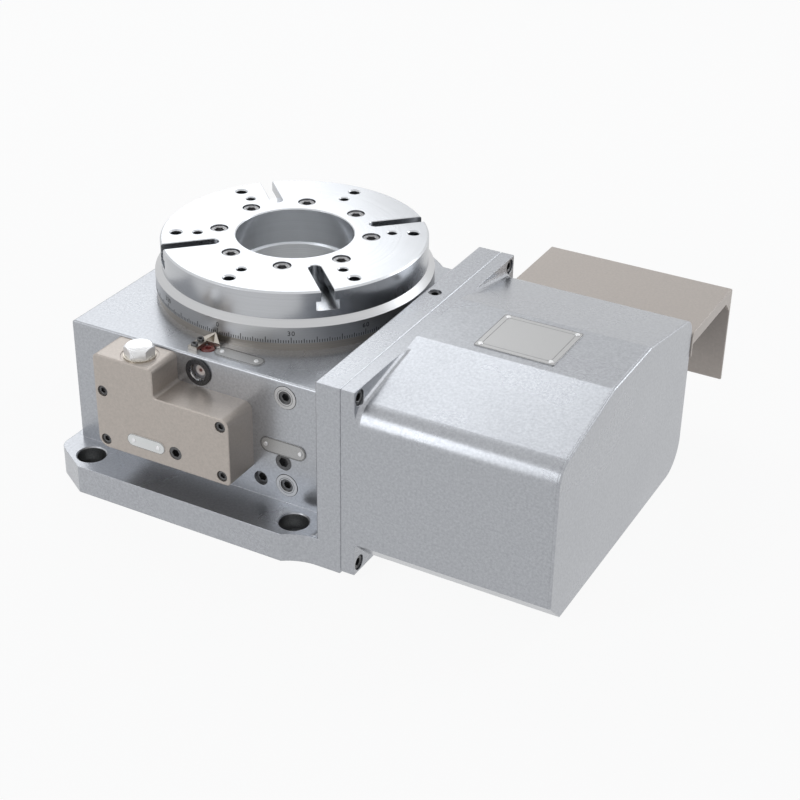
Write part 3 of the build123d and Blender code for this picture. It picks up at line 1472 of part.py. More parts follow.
with BuildPart() as label_rivets:
    for plane, (x, z), reach in label_rivet_sets:
        add_rivets(plane, [(x - reach, z), (x + reach, z)])
    add_rivets(cover_top_plane.offset(label_thickness), nameplate_rivet_places)
export(label_rivets, "label_rivets", steel)

# Pointer that reads the graduated ring, and a plug sealed with red lacquer beside it
tip_x, tip_y = pointer_tip
stem_left, stem_right = pointer_stem_x
arrow_left, arrow_right = pointer_arrow_x
with BuildPart() as index_pointer:
    with BuildSketch(body_top):
        with Locations((stem_left, pointer_back)):
            Rectangle(stem_right - stem_left, pointer_arrow_back - pointer_back, align=min_corner)
        with BuildLine():
            Polyline(
                (arrow_left, pointer_arrow_back),
                (arrow_right, pointer_arrow_back),
                (tip_x + pointer_tip_half, tip_y),
                (tip_x - pointer_tip_half, tip_y),
                close=True,
            )
        make_face()
    extrude(amount=pointer_rise)
    with BuildSketch(Plane.YZ):
        with BuildLine():
            Polyline(
                (pointer_back, body_height),
                (pointer_back, body_height + pointer_height),
                (pointer_arrow_back, body_height + pointer_height),
                (tip_y, body_height + pointer_rise),
                (tip_y, body_height),
                close=True,
            )
        make_face()
    extrude(amount=arrow_right - arrow_left + 2 * abs(tip_x), both=True, mode=Mode.INTERSECT)
    pointer_face = body_top.offset(pointer_height)
    spot_rise = pointer_rise - pointer_height
    plain_holes(body_top.offset(pointer_rise), pointer_screw_places, pointer_spot_radius, spot_rise)
    plain_holes(pointer_face, pointer_screw_places, pointer_screw_size / 2 + seat_gap, pointer_height)
export(index_pointer, "index_pointer", steel)

with BuildPart() as sealed_plug:
    with BuildSketch(body_top.offset(-sealed_plug_depth)):
        with Locations(sealed_plug_place):
            Circle(sealed_plug_radius)
    extrude(amount=sealed_plug_depth - sealed_plug_drop)
    chamfer(sealed_plug.edges().group_by(Axis.Z)[-1], fine_break)
    with BuildSketch(body_top.offset(-sealed_plug_depth)):
        with Locations(sealed_plug_place):
            Circle(plug_stem)
    extrude(amount=-plug_length)
export(sealed_plug, "sealed_plug", red)

# Socket screws of the fixed pieces: plane, places, size, length and depth below the surface
screw_sets = {
    "cap_screws_m4": (
        (Plane.XY.offset(seal_top), seal_screw_places, seal_screw_size, seal_screw_length, seal_screw_sink),
        (pointer_face, pointer_screw_places, pointer_screw_size, pointer_screw_length, -pointer_screw_size),
        (connector_face, connector_screw_places, connector_screw_size, connector_screw_length,
         -connector_screw_size),
    ),
    "cap_screws_m5": (
        (underside, base_screw_places, base_screw_size, base_screw_length, screw_sink),
        (left_face, left_cap_places, cap_screw_size, cap_screw_length, screw_sink),
        (hood_flange_face, hood_screw_places, hood_screw_size, hood_screw_length, -hood_screw_size),
    ),
    "cap_screws_m6": (
        (ring_face, bearing_screw_places, bearing_screw_size, bearing_screw_length, screw_sink),
        (across(seal_cap_end), seal_cap_places, seal_cap_screw_size, seal_cap_screw_length,
         -seal_cap_screw_size),
        (block_face, block_screw_places, block_screw_size, block_screw_length, block_screw_sink),
    ),
    "cap_screws_m8": (
        (across(flange_face), flange_screw_places, flange_screw_size, flange_screw_length, flange_screw_sink),
        (across(motor_flange_start), pillar_places, motor_screw_size, pillar_screw_length, -motor_screw_size),
        (across(motor_body_start), motor_screw_places, motor_screw_size, motor_screw_length, -motor_screw_size),
    ),
}
for name, sets in screw_sets.items():
    with BuildPart() as screws:
        for plane, places, size, length, sunk in sets:
            add(socket_screws(plane, places, size, length, sunk).part)
    export(screws, name, black)
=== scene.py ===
import bpy
import bmesh
import math
from mathutils import Matrix, Vector


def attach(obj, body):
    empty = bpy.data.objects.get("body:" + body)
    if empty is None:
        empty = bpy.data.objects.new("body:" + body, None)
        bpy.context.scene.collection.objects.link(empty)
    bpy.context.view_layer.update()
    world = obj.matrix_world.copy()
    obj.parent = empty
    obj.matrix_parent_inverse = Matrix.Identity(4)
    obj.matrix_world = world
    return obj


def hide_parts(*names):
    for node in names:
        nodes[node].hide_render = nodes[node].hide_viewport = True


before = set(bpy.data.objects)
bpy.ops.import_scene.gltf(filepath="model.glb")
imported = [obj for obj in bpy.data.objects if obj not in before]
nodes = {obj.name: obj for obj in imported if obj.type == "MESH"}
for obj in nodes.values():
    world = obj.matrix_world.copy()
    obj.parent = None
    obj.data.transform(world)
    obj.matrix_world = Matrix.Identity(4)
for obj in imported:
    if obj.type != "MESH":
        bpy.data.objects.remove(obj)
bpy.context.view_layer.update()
MM = 0.001


# ---- materials -------------------------------------------------------------------------------------------

class Nodes:
    """A short hand for building a node material."""

    def __init__(self, name):
        self.material = bpy.data.materials.new(name)
        self.material.use_nodes = True
        self.tree = self.material.node_tree
        self.shader = self.tree.nodes["Principled BSDF"]
        coordinates = self.tree.nodes.new("ShaderNodeTexCoord")
        self.coords = coordinates.outputs["Object"]
        self.normal = coordinates.outputs["Normal"]

    def node(self, kind, **values):
        """A new node. A value named like an input sets that input, any other sets the node's own property."""
        made = self.tree.nodes.new(kind)
        for key, value in values.items():
            if key in made.inputs:
                made.inputs[key].default_value = value
            else:
                setattr(made, key, value)
        return made

    def link(self, a, b):
        self.tree.links.new(a, b)

    def split(self, vector):
        made = self.node("ShaderNodeSeparateXYZ")
        self.link(vector, made.inputs["Vector"])
        return made.outputs

    def vector(self, **parts):
        """A vector of the X, Y and Z that are given; the others are 0."""
        made = self.node("ShaderNodeCombineXYZ")
        for axis, part in parts.items():
            self.link(part, made.inputs[axis])
        return made.outputs["Vector"]

    def noise(self, scale, detail=3.0, source=None):
        """Noise over the object's coordinates or over another vector."""
        made = self.node("ShaderNodeTexNoise", Scale=scale, Detail=detail)
        self.link(self.coords if source is None else source, made.inputs["Vector"])
        return made.outputs["Fac"]

    def ramp(self, source, low, high, start=0.3, end=0.7):
        """Goes from low to high while the source goes from start to end."""
        made = self.node("ShaderNodeMapRange")
        made.inputs["From Min"].default_value = start
        made.inputs["From Max"].default_value = end
        made.inputs["To Min"].default_value = low
        made.inputs["To Max"].default_value = high
        self.link(source, made.inputs["Value"])
        return made.outputs["Result"]

    def colours(self, factor, a, b):
        made = self.node("ShaderNodeMix", data_type="RGBA")
        self.link(factor, made.inputs["Factor"])
        made.inputs["A"].default_value = (*a, 1)
        made.inputs["B"].default_value = (*b, 1)
        return made.outputs["Result"]

    def bump(self, height, strength, distance, normal=None):
        made = self.node("ShaderNodeBump", Strength=strength, Distance=distance)
        self.link(height, made.inputs["Height"])
        if normal is not None:
            self.link(normal, made.inputs["Normal"])
        return made.outputs["Normal"]

    def soft_edges(self, radius):
        """The normal with its edges rounded by a radius in metres."""
        return self.node("ShaderNodeBevel", samples=4, Radius=radius).outputs["Normal"]

    def set(self, **values):
        """Sets inputs of the shader; an underscore stands for a space."""
        for key, value in values.items():
            self.shader.inputs[key.replace("_", " ")].default_value = value

    def feed(self, **sources):
        """Links sources to inputs of the shader; an underscore stands for a space."""
        for key, source in sources.items():
            self.link(source, self.shader.inputs[key.replace("_", " ")])


def painted(name, light, dark, metallic=0.8, roughness=0.27):
    """Metallic paint: flakes and a coarse grain in colour and bump, slow unevenness in gloss, soft edges."""
    spread, edge, depth = 0.14, 0.0009, 0.00006
    m = Nodes(name)
    flakes = m.noise(1500.0, 2.0)
    grain = m.noise(430.0, 3.0)
    both = m.node("ShaderNodeMix", Factor=0.55)
    m.link(flakes, both.inputs["A"])
    m.link(grain, both.inputs["B"])
    speckle = both.outputs["Result"]
    m.feed(
        Base_Color=m.colours(m.ramp(speckle, 0, 1, 0.5 - spread, 0.5 + spread), dark, light),
        Roughness=m.ramp(m.noise(9.0, 4.0), roughness - 0.02, roughness + 0.05),
        Normal=m.bump(speckle, 0.4, depth, m.soft_edges(edge)),
    )
    m.set(Metallic=metallic, Coat_Weight=0.12, Coat_Roughness=0.1)
    return m.material


def ground(name, light, dark, roughness=0.25, turned=False, anisotropy=0.0, lines=900.0, metallic=1.0,
           side=None):
    """Machined metal: fine tool marks, turned round the Z axis or in every direction.

    A side factor, for turned metal only, multiplies the colour of upright walls as painted shade. Walls at
    the bore take a gain of painted light instead, and faces that look up keep their colour.
    """
    edge, depth = 0.0004, 0.00001
    # Painted light: the gain makes walls at the bore 1.2 times as light.
    painted_bore_light, bore_end, side_start = 1.2, 0.056, 0.060
    m = Nodes(name)
    if turned:
        place = m.split(m.coords)
        planar = m.vector(X=place["X"], Y=place["Y"])
        length = m.node("ShaderNodeVectorMath", operation="LENGTH")
        m.link(planar, length.inputs[0])
        radius = length.outputs["Value"]
        marks = m.noise(lines, 3.0, m.vector(X=radius, Z=place["Z"]))
    else:
        marks = m.noise(lines, 3.0)
    cloud = m.noise(14.0, 4.0)
    colour = m.colours(m.ramp(marks, 0, 1), dark, light)
    # Painted light and shade: the side factor darkens upright walls, the gain lightens walls at the bore.
    if side:
        upward = m.split(m.normal)["Z"]
        painted_shading = m.node("ShaderNodeMix", data_type="RGBA", blend_type="MULTIPLY", Factor=1.0)
        m.link(colour, painted_shading.inputs["A"])
        wall_shade_or_bore_light = m.node("ShaderNodeMix", data_type="FLOAT")
        m.link(m.ramp(upward, 0, 1, 0.2, 0.8), wall_shade_or_bore_light.inputs["Factor"])
        m.link(m.ramp(radius, painted_bore_light, side, bore_end, side_start), wall_shade_or_bore_light.inputs["A"])
        wall_shade_or_bore_light.inputs["B"].default_value = 1.0
        m.link(wall_shade_or_bore_light.outputs["Result"], painted_shading.inputs["B"])
        colour = painted_shading.outputs["Result"]
    m.feed(
        Base_Color=colour,
        Roughness=m.ramp(cloud, roughness - 0.03, roughness + 0.06),
        Normal=m.bump(marks, 0.08, depth, m.soft_edges(edge)),
    )
    m.set(Metallic=metallic)
    if anisotropy:
        m.set(Anisotropic=anisotropy)
        tangent = m.node("ShaderNodeTangent", direction_type="RADIAL", axis="Z")
        m.feed(Tangent=tangent.outputs["Tangent"])
    return m.material


def plain(name, light, dark, roughness, metallic=0.0, depth=0.00003, coat=0.0):
    """Rubber, plastic, lacquer or black oxide: faint mottling with a fine bump."""
    m = Nodes(name)
    fine = m.noise(1200.0, 3.0)
    m.feed(
        Base_Color=m.colours(m.ramp(m.noise(60.0, 4.0), 0, 1), dark, light),
        Roughness=m.ramp(fine, roughness - 0.05, roughness + 0.06),
        Normal=m.bump(fine, 0.3, depth),
    )
    m.set(Metallic=metallic, Coat_Weight=coat)
    return m.material


def glass(name):
    """Clear glass with a faint unevenness in gloss and tint."""
    m = Nodes(name)
    m.feed(
        Roughness=m.ramp(m.noise(40.0, 2.0), 0.02, 0.06),
        Base_Color=m.colours(m.noise(25.0, 2.0), (0.93, 0.95, 0.93), (0.98, 0.98, 0.97)),
    )
    m.set(Transmission_Weight=1.0, IOR=1.49)
    return m.material


def eye(name, middle):
    """The sight glass's reflector: a red dot in a pale ring on dark metal, round a point of the XZ plane."""
    # Radius in centimetres, and colour
    stops = (
        (0.14, (0.16, 0.03, 0.03)),
        (0.20, (0.86, 0.74, 0.72)),
        (0.44, (0.86, 0.80, 0.80)),
        (0.56, (0.12, 0.12, 0.15)),
    )
    m = Nodes(name)
    place = m.split(m.coords)
    planar = m.vector(X=place["X"], Z=place["Z"])
    away = m.node("ShaderNodeVectorMath", operation="DISTANCE")
    m.link(planar, away.inputs[0])
    away.inputs[1].default_value = (middle[0], 0, middle[1])
    centimetres = m.node("ShaderNodeMath", operation="MULTIPLY")
    m.link(away.outputs["Value"], centimetres.inputs[0])
    centimetres.inputs[1].default_value = 100.0
    rings = m.node("ShaderNodeValToRGB")
    m.link(centimetres.outputs["Value"], rings.inputs["Fac"])
    while len(rings.color_ramp.elements) < len(stops):
        rings.color_ramp.elements.new(1.0)
    for element, (radius, colour) in zip(rings.color_ramp.elements, stops):
        element.position = radius
        element.color = (*colour, 1)
    m.feed(Base_Color=rings.outputs["Color"], Roughness=m.ramp(m.noise(200.0), 0.3, 0.4))
    m.set(Metallic=0.3)
    return m.material


paint = painted("silver_paint", (0.46, 0.475, 0.50), (0.35, 0.36, 0.385))
tan_paint = painted("tan_paint", (0.52, 0.465, 0.42), (0.45, 0.405, 0.365), metallic=0.45, roughness=0.38)
taupe_paint = painted("taupe_paint", (0.47, 0.425, 0.39), (0.42, 0.38, 0.35), metallic=0.5, roughness=0.4)
# The side factors paint shade on the upright walls of the table and the ring, and the table's bore walls get
# painted light.
table_steel = ground("table_steel", (0.60, 0.615, 0.64), (0.56, 0.575, 0.60), 0.24,
                     turned=True, anisotropy=0.5, side=0.8)
ring_steel = ground("ring_steel", (0.56, 0.565, 0.575), (0.52, 0.525, 0.535), 0.3,
                    turned=True, anisotropy=0.3, side=0.85)
# Painted light: the spindle wears a far lighter copy of the steel, to light the bore.
bore_steel_painted_light = ground("bore_steel_painted_light", (0.90, 0.91, 0.92), (0.82, 0.83, 0.84), 0.4, turned=True)
seal_metal = ground("seal_metal", (0.42, 0.385, 0.345), (0.32, 0.295, 0.265), 0.34, turned=True)
steel = ground("plain_steel", (0.62, 0.625, 0.63), (0.50, 0.505, 0.51), 0.28)
pointer_steel = ground("pointer_steel", (0.55, 0.52, 0.47), (0.44, 0.41, 0.37), 0.3)
bush_steel = ground("bush_steel", (0.55, 0.55, 0.555), (0.46, 0.46, 0.465), 0.35)
bright = ground("bright_steel", (0.90, 0.90, 0.90), (0.82, 0.82, 0.83), 0.3, lines=500.0, metallic=0.6)
# The iron also paints shade into the foot's bolt holes.
iron = ground("machined_iron_and_painted_shade", (0.24, 0.245, 0.25), (0.16, 0.165, 0.17), 0.42)
washer_steel = ground("washer_steel", (0.66, 0.62, 0.55), (0.54, 0.50, 0.44), 0.3)
bronze = ground("bronze", (0.56, 0.38, 0.17), (0.44, 0.29, 0.12), 0.3)
oxide = plain("black_oxide", (0.13, 0.13, 0.133), (0.09, 0.09, 0.092), 0.3, metallic=0.9)
screw_grey = plain("phosphated_steel", (0.30, 0.30, 0.305), (0.22, 0.22, 0.225), 0.3, metallic=0.95)
black = plain("black_paint", (0.03, 0.03, 0.032), (0.018, 0.018, 0.02), 0.42)
bezel_black = plain("bezel_black", (0.045, 0.045, 0.048), (0.03, 0.03, 0.032), 0.28, metallic=0.3)
rubber = plain("seal_rubber", (0.02, 0.02, 0.02), (0.012, 0.012, 0.012), 0.6)
label_metal = ground("label_aluminium", (0.44, 0.44, 0.44), (0.37, 0.37, 0.37), 0.42, lines=1400.0)
target = eye("sight_target", (0.0005, 0.1365))
white = plain("white_label", (0.95, 0.95, 0.93), (0.91, 0.91, 0.89), 0.4, depth=0.00001)
# The ink also paints shade into the gaps round the port bushes.
ink = plain("engraving_ink_and_painted_shade", (0.03, 0.03, 0.032), (0.02, 0.02, 0.02), 0.5, depth=0.00001)
lacquer = plain("red_lacquer", (0.22, 0.03, 0.026), (0.12, 0.015, 0.014), 0.35, coat=0.2)
lens = glass("sight_lens")

# The nodes of the CAD that wear each material
finish = {
    paint: "main_casting motor_cover end_plate",
    tan_paint: "manifold_block",
    taupe_paint: "connector_hood",
    table_steel: "table_plate",
    ring_steel: "graduated_ring",
    bore_steel_painted_light: "spindle",
    seal_metal: "seal_ring",
    steel: "bearing_inner_ring bearing_lower_washer bearing_outer_ring bearing_rollers wheel_key spindle_nut "
           "brake_disc brake_piston worm_shaft worm_bearing_outers worm_bearing_inners worm_bearing_balls "
           "driven_gear motor_pinion shaft_nuts motor_shaft motor_plate motor_pillars cover_studs stud_nuts",
    bright: "label_rivets port_plug",
    pointer_steel: "index_pointer",
    bush_steel: "port_bushes",
    target: "sight_glass_reflector",
    iron: "base_cover brake_stator brake_cylinder worm_end_cap worm_seal_cap",
    bronze: "worm_wheel",
    washer_steel: "port_plug_washer",
    oxide: "cap_screws_m4 cap_screws_m5 cap_screws_m6 cap_screws_m8 table_screws ring_screws socket_plugs",
    bezel_black: "sight_glass_bezel",
    black: "motor_flange motor_body motor_rear_cap connectors",
    rubber: "piston_seals",
    label_metal: "oblong_labels nameplate",
    white: "block_label",
    lens: "sight_glass_lens",
    lacquer: "sealed_plug",
}
for material, names in finish.items():
    for name in names.split():
        for item in nodes[name].material_slots:
            item.material = material


# ---- helpers for detail ----------------------------------------------------------------------------------

def piece(name, bm, material, body, smooth=30.0):
    """A mesh object from a bmesh in metres, riding on a body."""
    mesh = bpy.data.meshes.new(name)
    bmesh.ops.recalc_face_normals(bm, faces=bm.faces)
    bm.to_mesh(mesh)
    bm.free()
    for polygon in mesh.polygons:
        polygon.use_smooth = True
    mesh.set_sharp_from_angle(angle=math.radians(smooth))
    mesh.materials.append(material)
    made = bpy.data.objects.new(name, mesh)
    bpy.context.scene.collection.objects.link(made)
    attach(made, body)
    return made


def strip(bm, loops):
    """Joins neighbouring closed loops of equal length with quads."""
    for a, b in zip(loops, loops[1:]):
        for i in range(len(a)):
            j = (i + 1) % len(a)
            bm.faces.new((a[i], a[j], b[j], b[i]))


def capped(bm, loops):
    """A strip over loops whose two ends are filled."""
    strip(bm, loops)
    bm.faces.new(loops[0])
    bm.faces.new(loops[-1])


def circle(radius, count=48):
    turns = [2 * math.pi * i / count for i in range(count)]
    return [(radius * math.cos(turn), radius * math.sin(turn)) for turn in turns]


def stadium(length, height):
    """An outline with two half round ends."""
    half, radius = (length - height) / 2, height / 2
    angles = [math.pi * (i / 16 - 0.5) for i in range(17)]
    right_end = [(half + radius * math.cos(a), radius * math.sin(a)) for a in angles]
    return right_end + [(-x, -y) for x, y in right_end]


def rounded(length, width, radius):
    """A rectangle with rounded corners."""
    points = []
    for corner, (sx, sy) in enumerate(((1, 1), (-1, 1), (-1, -1), (1, -1))):
        for i in range(7):
            angle = math.pi / 2 * (corner + i / 6)
            points.append((sx * (length / 2 - radius) + radius * math.cos(angle),
                           sy * (width / 2 - radius) + radius * math.sin(angle)))
    return points


def loop_at(bm, matrix, radius, z, count=36):
    """A round loop about the matrix's Z axis."""
    return [bm.verts.new(matrix @ Vector((x, y, z))) for x, y in circle(radius, count)]


def hexagon_at(bm, matrix, across, z, count=36):
    """A loop along a hexagon of the given width across its flats."""
    verts = []
    for i in range(count):
        angle = 2 * math.pi * i / count
        inside = (angle + math.pi / 6) % (math.pi / 3) - math.pi / 6
        radius = across / 2 / math.cos(inside)
        verts.append(bm.verts.new(matrix @ Vector((radius * math.cos(angle), radius * math.sin(angle), z))))
    return verts


def band(bm, matrix, outer, inner, low, high):
    """A closed flat band between two outlines of equal length, in millimetres, raised over its surface."""
    loops = [
        [bm.verts.new(matrix @ Vector((x * MM, y * MM, z * MM))) for x, y in outline]
        for outline, z in ((outer, low), (outer, high), (inner, high), (inner, low))
    ]
    strip(bm, loops + loops[:1])


def prism(bm, outline, low, top):
    """A closed upright prism in millimetres, whose top follows a height over Y."""
    capped(bm, [
        [bm.verts.new(Vector((x, y, low)) * MM) for x, y in outline],
        [bm.verts.new(Vector((x, y, top(y))) * MM) for x, y in outline],
    ])


def facing(x, y, z, direction):
    """A frame at a point in millimetres whose Z axis points along a direction."""
    turn = Vector(direction).to_track_quat("Z", "Y").to_matrix().to_4x4()
    return Matrix.Translation(Vector((x, y, z)) * MM) @ turn


def flat(x, y, z):
    """A frame at a point in millimetres with the axes of the world."""
    return Matrix.Translation(Vector((x, y, z)) * MM)


def upright(x, y, z):
    """A frame on a front face: its X axis to the right, its Y axis up and its Z axis out of the face."""
    return flat(x, y, z) @ Matrix(((1, 0, 0, 0), (0, 0, -1, 0), (0, 1, 0, 0), (0, 0, 0, 1)))


# ---- screws ----------------------------------------------------------------------------------------------

def add_screw(bm, matrix, size, length):
    """A socket head screw with its head's top at the matrix's origin, pointing up its Z axis."""
    shank, head, edge = 0.5 * size, 0.8 * size, 0.09 * size
    socket, socket_top, socket_depth = 0.80 * size, -0.07 * size, -0.5 * size
    loops = [
        loop_at(bm, matrix, shank, -size - length),
        loop_at(bm, matrix, shank, -size),
        loop_at(bm, matrix, head, -size),
        loop_at(bm, matrix, head, -edge),
        loop_at(bm, matrix, head - 0.35 * edge, -0.25 * edge),
        loop_at(bm, matrix, head - edge, 0.0),
        loop_at(bm, matrix, 0.52 * size, 0.0),
        loop_at(bm, matrix, 0.49 * size, -0.04 * size),
        hexagon_at(bm, matrix, socket, socket_top),
        hexagon_at(bm, matrix, socket, socket_depth),
    ]
    strip(bm, loops)
    bm.faces.new(loops[0])
    tip = bm.verts.new(matrix @ Vector((0, 0, -0.62 * size)))
    last = loops[-1]
    for i in range(len(last)):
        bm.faces.new((last[i], last[(i + 1) % len(last)], tip))


def screws(name, node, places, body, material=oxide):
    """Detailed screws that stand for a node: each place is (point, direction, size, length), in mm."""
    bm = bmesh.new()
    for point, direction, size, length in places:
        add_screw(bm, facing(*point, direction), size * MM, length * MM)
    made = piece(name, bm, material, body)
    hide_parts(node)


def ring_of(radius, count, start, z):
    """Points on a circle about the Z axis, from a start angle in degrees."""
    angles = [math.radians(start + 360 * i / count) for i in range(count)]
    return [(radius * math.cos(angle), radius * math.sin(angle), z) for angle in angles]


UP, FRONT, BACK, RIGHT = (0, 0, 1), (0, -1, 0), (0, 1, 0), (1, 0, 0)
gear_distance, motor_rise = 67.5, 18.0
worm_y, worm_z = -112.0, 74.0
motor_y = worm_y + math.sqrt(gear_distance**2 - motor_rise**2)
motor_z = worm_z + motor_rise

bearing_places = ring_of(117, 12, 15, 131.2)
worm_cap_places = [(176.5, worm_y + y, worm_z + z) for y, z, _ in ring_of(36.5, 6, 30, 0)]
block_places = [(x, -200.0, z) for x in (-77.6, 47.1) for z in (63.4, 113.2)]
cover_places = [(177.0, y, z) for y in (-189, 94) for z in (11.5, 175)]
pillar_places = [(228.0, y, z) for y in (-172, 16) for z in (38, 148)]
motor_places = [(240.0, motor_y + y, motor_z + z) for y in (-46, 46) for z in (-46, 46)]
seal_places = ring_of(126, 8, 22.5, 158.3)
pointer_places = [(-10.6, -142.6, 157.6), (-10.2, -152.6, 157.6)]
connector_places = [(x + a, 104.0, 98 + b) for x in (232, 290) for a in (-12, 12) for b in (-12, 12)]

screws("table_screw_set", "table_screws", [(p, UP, 10, 40) for p in ring_of(71.6, 8, 22.5, 205.0)],
       "table", screw_grey)
screws("screw_set_m6", "cap_screws_m6",
       [(p, UP, 6, 16) for p in bearing_places]
       + [(p, RIGHT, 6, 18) for p in worm_cap_places]
       + [(p, FRONT, 6, 44) for p in block_places], "housing")
screws("screw_set_m8", "cap_screws_m8",
       [(p, RIGHT, 8, 20) for p in cover_places]
       + [(p, RIGHT, 8, 30) for p in pillar_places]
       + [(p, RIGHT, 8, 22) for p in motor_places], "housing")
screws("screw_set_m4", "cap_screws_m4",
       [(p, UP, 4, 10) for p in seal_places]
       + [(p, UP, 4, 10.5) for p in pointer_places]
       + [(p, BACK, 4, 10) for p in connector_places], "housing")


# ---- small pieces ----------------------------------------------------------------------------------------

BODY_TOP = 151.5
INK = (-0.1, 0.03)      # an inked line reaches from below its surface to just above it


def port_plug():
    """The block's hex plug: a chamfered head with a raised round top over a straight stem."""
    x, y, z = -47.5, -183.0, 159.5
    count, flats, crown, head = 72, 24.0, 11.4, 9.0
    chamfer = math.tan(math.radians(32))
    bm = bmesh.new()
    matrix = facing(x, y, z, UP)
    loops = [
        loop_at(bm, matrix, 8.2 * MM, -29.0 * MM, count),
        loop_at(bm, matrix, 9.0 * MM, -28.2 * MM, count),
        loop_at(bm, matrix, 9.0 * MM, -head * MM, count),
        hexagon_at(bm, matrix, flats * MM, -head * MM, count),
        hexagon_at(bm, matrix, flats * MM, 0.0, count),
        loop_at(bm, matrix, crown * MM, 0.0, count),
        loop_at(bm, matrix, (crown - 0.5) * MM, 0.0, count),
        loop_at(bm, matrix, (crown - 1.0) * MM, -0.25 * MM, count),
    ]
    middle = Vector((x, y)) * MM
    for vert in loops[4]:
        vert.co.z -= ((vert.co.xy - middle).length - crown * MM) * chamfer
    capped(bm, loops)
    made = piece("hex_plug", bm, bright, "housing")
    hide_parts("port_plug")


def lacquer_seal():
    """Wrinkled red lacquer over a sunk screw, with the screw's dark hole near its back edge."""
    rim, ceiling = 6.4, 151.45
    # Radius, height over the body's top, and height of the wrinkles
    rings = (
        (5.0, -12.5, 0.0), (5.0, -2.5, 0.0), (rim, -2.5, 0.0), (rim, -1.0, 0.0), (6.0, -0.3, 0.12),
        (5.2, -0.2, 0.25), (4.3, -0.3, 0.3), (3.4, -0.4, 0.25), (2.7, -0.6, 0.1), (2.5, -2.2, 0.0),
    )
    bm = bmesh.new()
    loops = []
    for row, (radius, z, wave) in enumerate(rings):
        shift = max(0.0, rim - radius) / 4 if row > 3 else 0.0
        loop = []
        for i in range(48):
            angle = 2 * math.pi * i / 48
            rise = wave * (math.sin(5 * angle + 1.7 * row) + 0.6 * math.sin(11 * angle - 2.3 * row))
            x = -0.7 - shift * 0.9 + radius * math.cos(angle)
            y = -146.0 + shift * 1.8 + radius * math.sin(angle)
            loop.append(bm.verts.new(Vector((x, y, min(ceiling, BODY_TOP + z + rise))) * MM))
        loops.append(loop)
    capped(bm, loops)
    made = piece("lacquer_seal", bm, lacquer, "housing", 60.0)
    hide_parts("sealed_plug")


def pointer():
    """The index pointer: a flat plate, and two wings that rise to the tip with a dark gap between them."""
    deck, tip, back, front = 155.1, 160.5, -140.0, -131.5
    rise = (tip - deck) / (front - back)
    plate = [
        (-15.0, -156.0), (-5.8, -156.0), (-5.8, back), (8.4, back),
        (-1.4, front), (-2.6, front), (-15.0, back),
    ]
    wings = (
        [(-14.4, back), (-7.6, back), (-2.3, -133.4), (-2.0, front), (-2.6, front)],
        [(7.8, back), (-1.4, front), (-2.0, front), (-1.7, -133.4), (1.9, back)],
    )
    bm = bmesh.new()
    prism(bm, plate, BODY_TOP, lambda y: deck)
    for wing in wings:
        prism(bm, wing, 154.6, lambda y: deck + rise * (y - back))
    made = piece("pointer", bm, pointer_steel, "housing")
    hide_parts("index_pointer")


def label_borders():
    """Engraved border lines, filled with dark ink, on the bare labels and the nameplate."""
    line = 0.7
    bm = bmesh.new()
    for matrix, length, height in (
        (upright(86.6, -163.8, 84.0), 46.5, 15.5), (flat(32.0, -145.6, 152.3), 50.0, 15.5),
    ):
        for inset in (0.15, 1.7):
            outer = stadium(length - inset, height - inset)
            inner = stadium(length - inset - line, height - inset - line)
            band(bm, matrix, outer, inner, *INK)
    plate = flat(264.0, -50.0, 187.8)
    band(bm, plate, rounded(73.7, 63.7, 1.9), rounded(73.0, 63.0, 1.6), *INK)
    band(bm, plate, rounded(64.0, 54.0, 1.5), rounded(63.3, 53.3, 1.2), *INK)
    piece("label_borders", bm, ink, "housing")


def seat_rings():
    """Dark ink rings, painted shade for the gaps round the two port bushes and round their plugs, and a dark
    line round the block label.
    """
    bm = bmesh.new()
    for z in (135.8, 46.5):
        band(bm, upright(89.6, -163.0, z), circle(11.3), circle(10.7), -0.3, 0.05)
        band(bm, upright(89.6, -163.4, z), circle(7.9), circle(7.5), *INK)
    band(bm, upright(-33.0, -201.8, 72.2), stadium(39.9, 11.9), stadium(39.3, 11.3), *INK)
    piece("seat_rings", bm, ink, "housing")


def bolt_hole_skins():
    """Dark iron linings in the foot's four counterbored bolt holes: painted shade for the shade inside them.
    """
    profile = (
        (13.38, 26.9), (13.38, 11.03), (8.73, 11.03), (8.73, 0.3),
        (8.6, 0.3), (8.6, 11.15), (13.25, 11.15), (13.25, 26.9),
    )
    bm = bmesh.new()
    for x in (-110.0, 110.0):
        for y in (-185.0, 146.0):
            loops = [loop_at(bm, flat(x, y, z), radius * MM, 0.0, 48) for radius, z in profile]
            strip(bm, loops + loops[:1])
    piece("bolt_hole_skins", bm, iron, "housing")


port_plug()
lacquer_seal()
pointer()
bolt_hole_skins()
label_borders()
seat_rings()


# ---- graduation ------------------------------------------------------------------------------------------

def on_ring(angle, z, radius):
    return Vector((radius * math.cos(angle), radius * math.sin(angle), z)) * MM


def graduation():
    """Degree marks at the lower edge of the ring's band: every degree, longer at five and longest at ten."""
    outside, inside, low = 131.03, 130.8, 159.35
    half = math.radians(0.16)
    bm = bmesh.new()
    for degree in range(360):
        height = 5.6 if degree % 10 == 0 else 4.2 if degree % 5 == 0 else 2.9
        middle = math.radians(degree - 90)
        verts = [
            bm.verts.new(on_ring(middle + side * half, z, radius))
            for radius in (outside, inside)
            for side, z in ((-1, low), (1, low), (1, low + height), (-1, low + height))
        ]
        a, b = verts[:4], verts[4:]
        bm.faces.new(a)
        bm.faces.new(b[::-1])
        for i in range(4):
            j = (i + 1) % 4
            bm.faces.new((a[j], a[i], b[i], b[j]))
    piece("graduation_marks", bm, ink, "table")


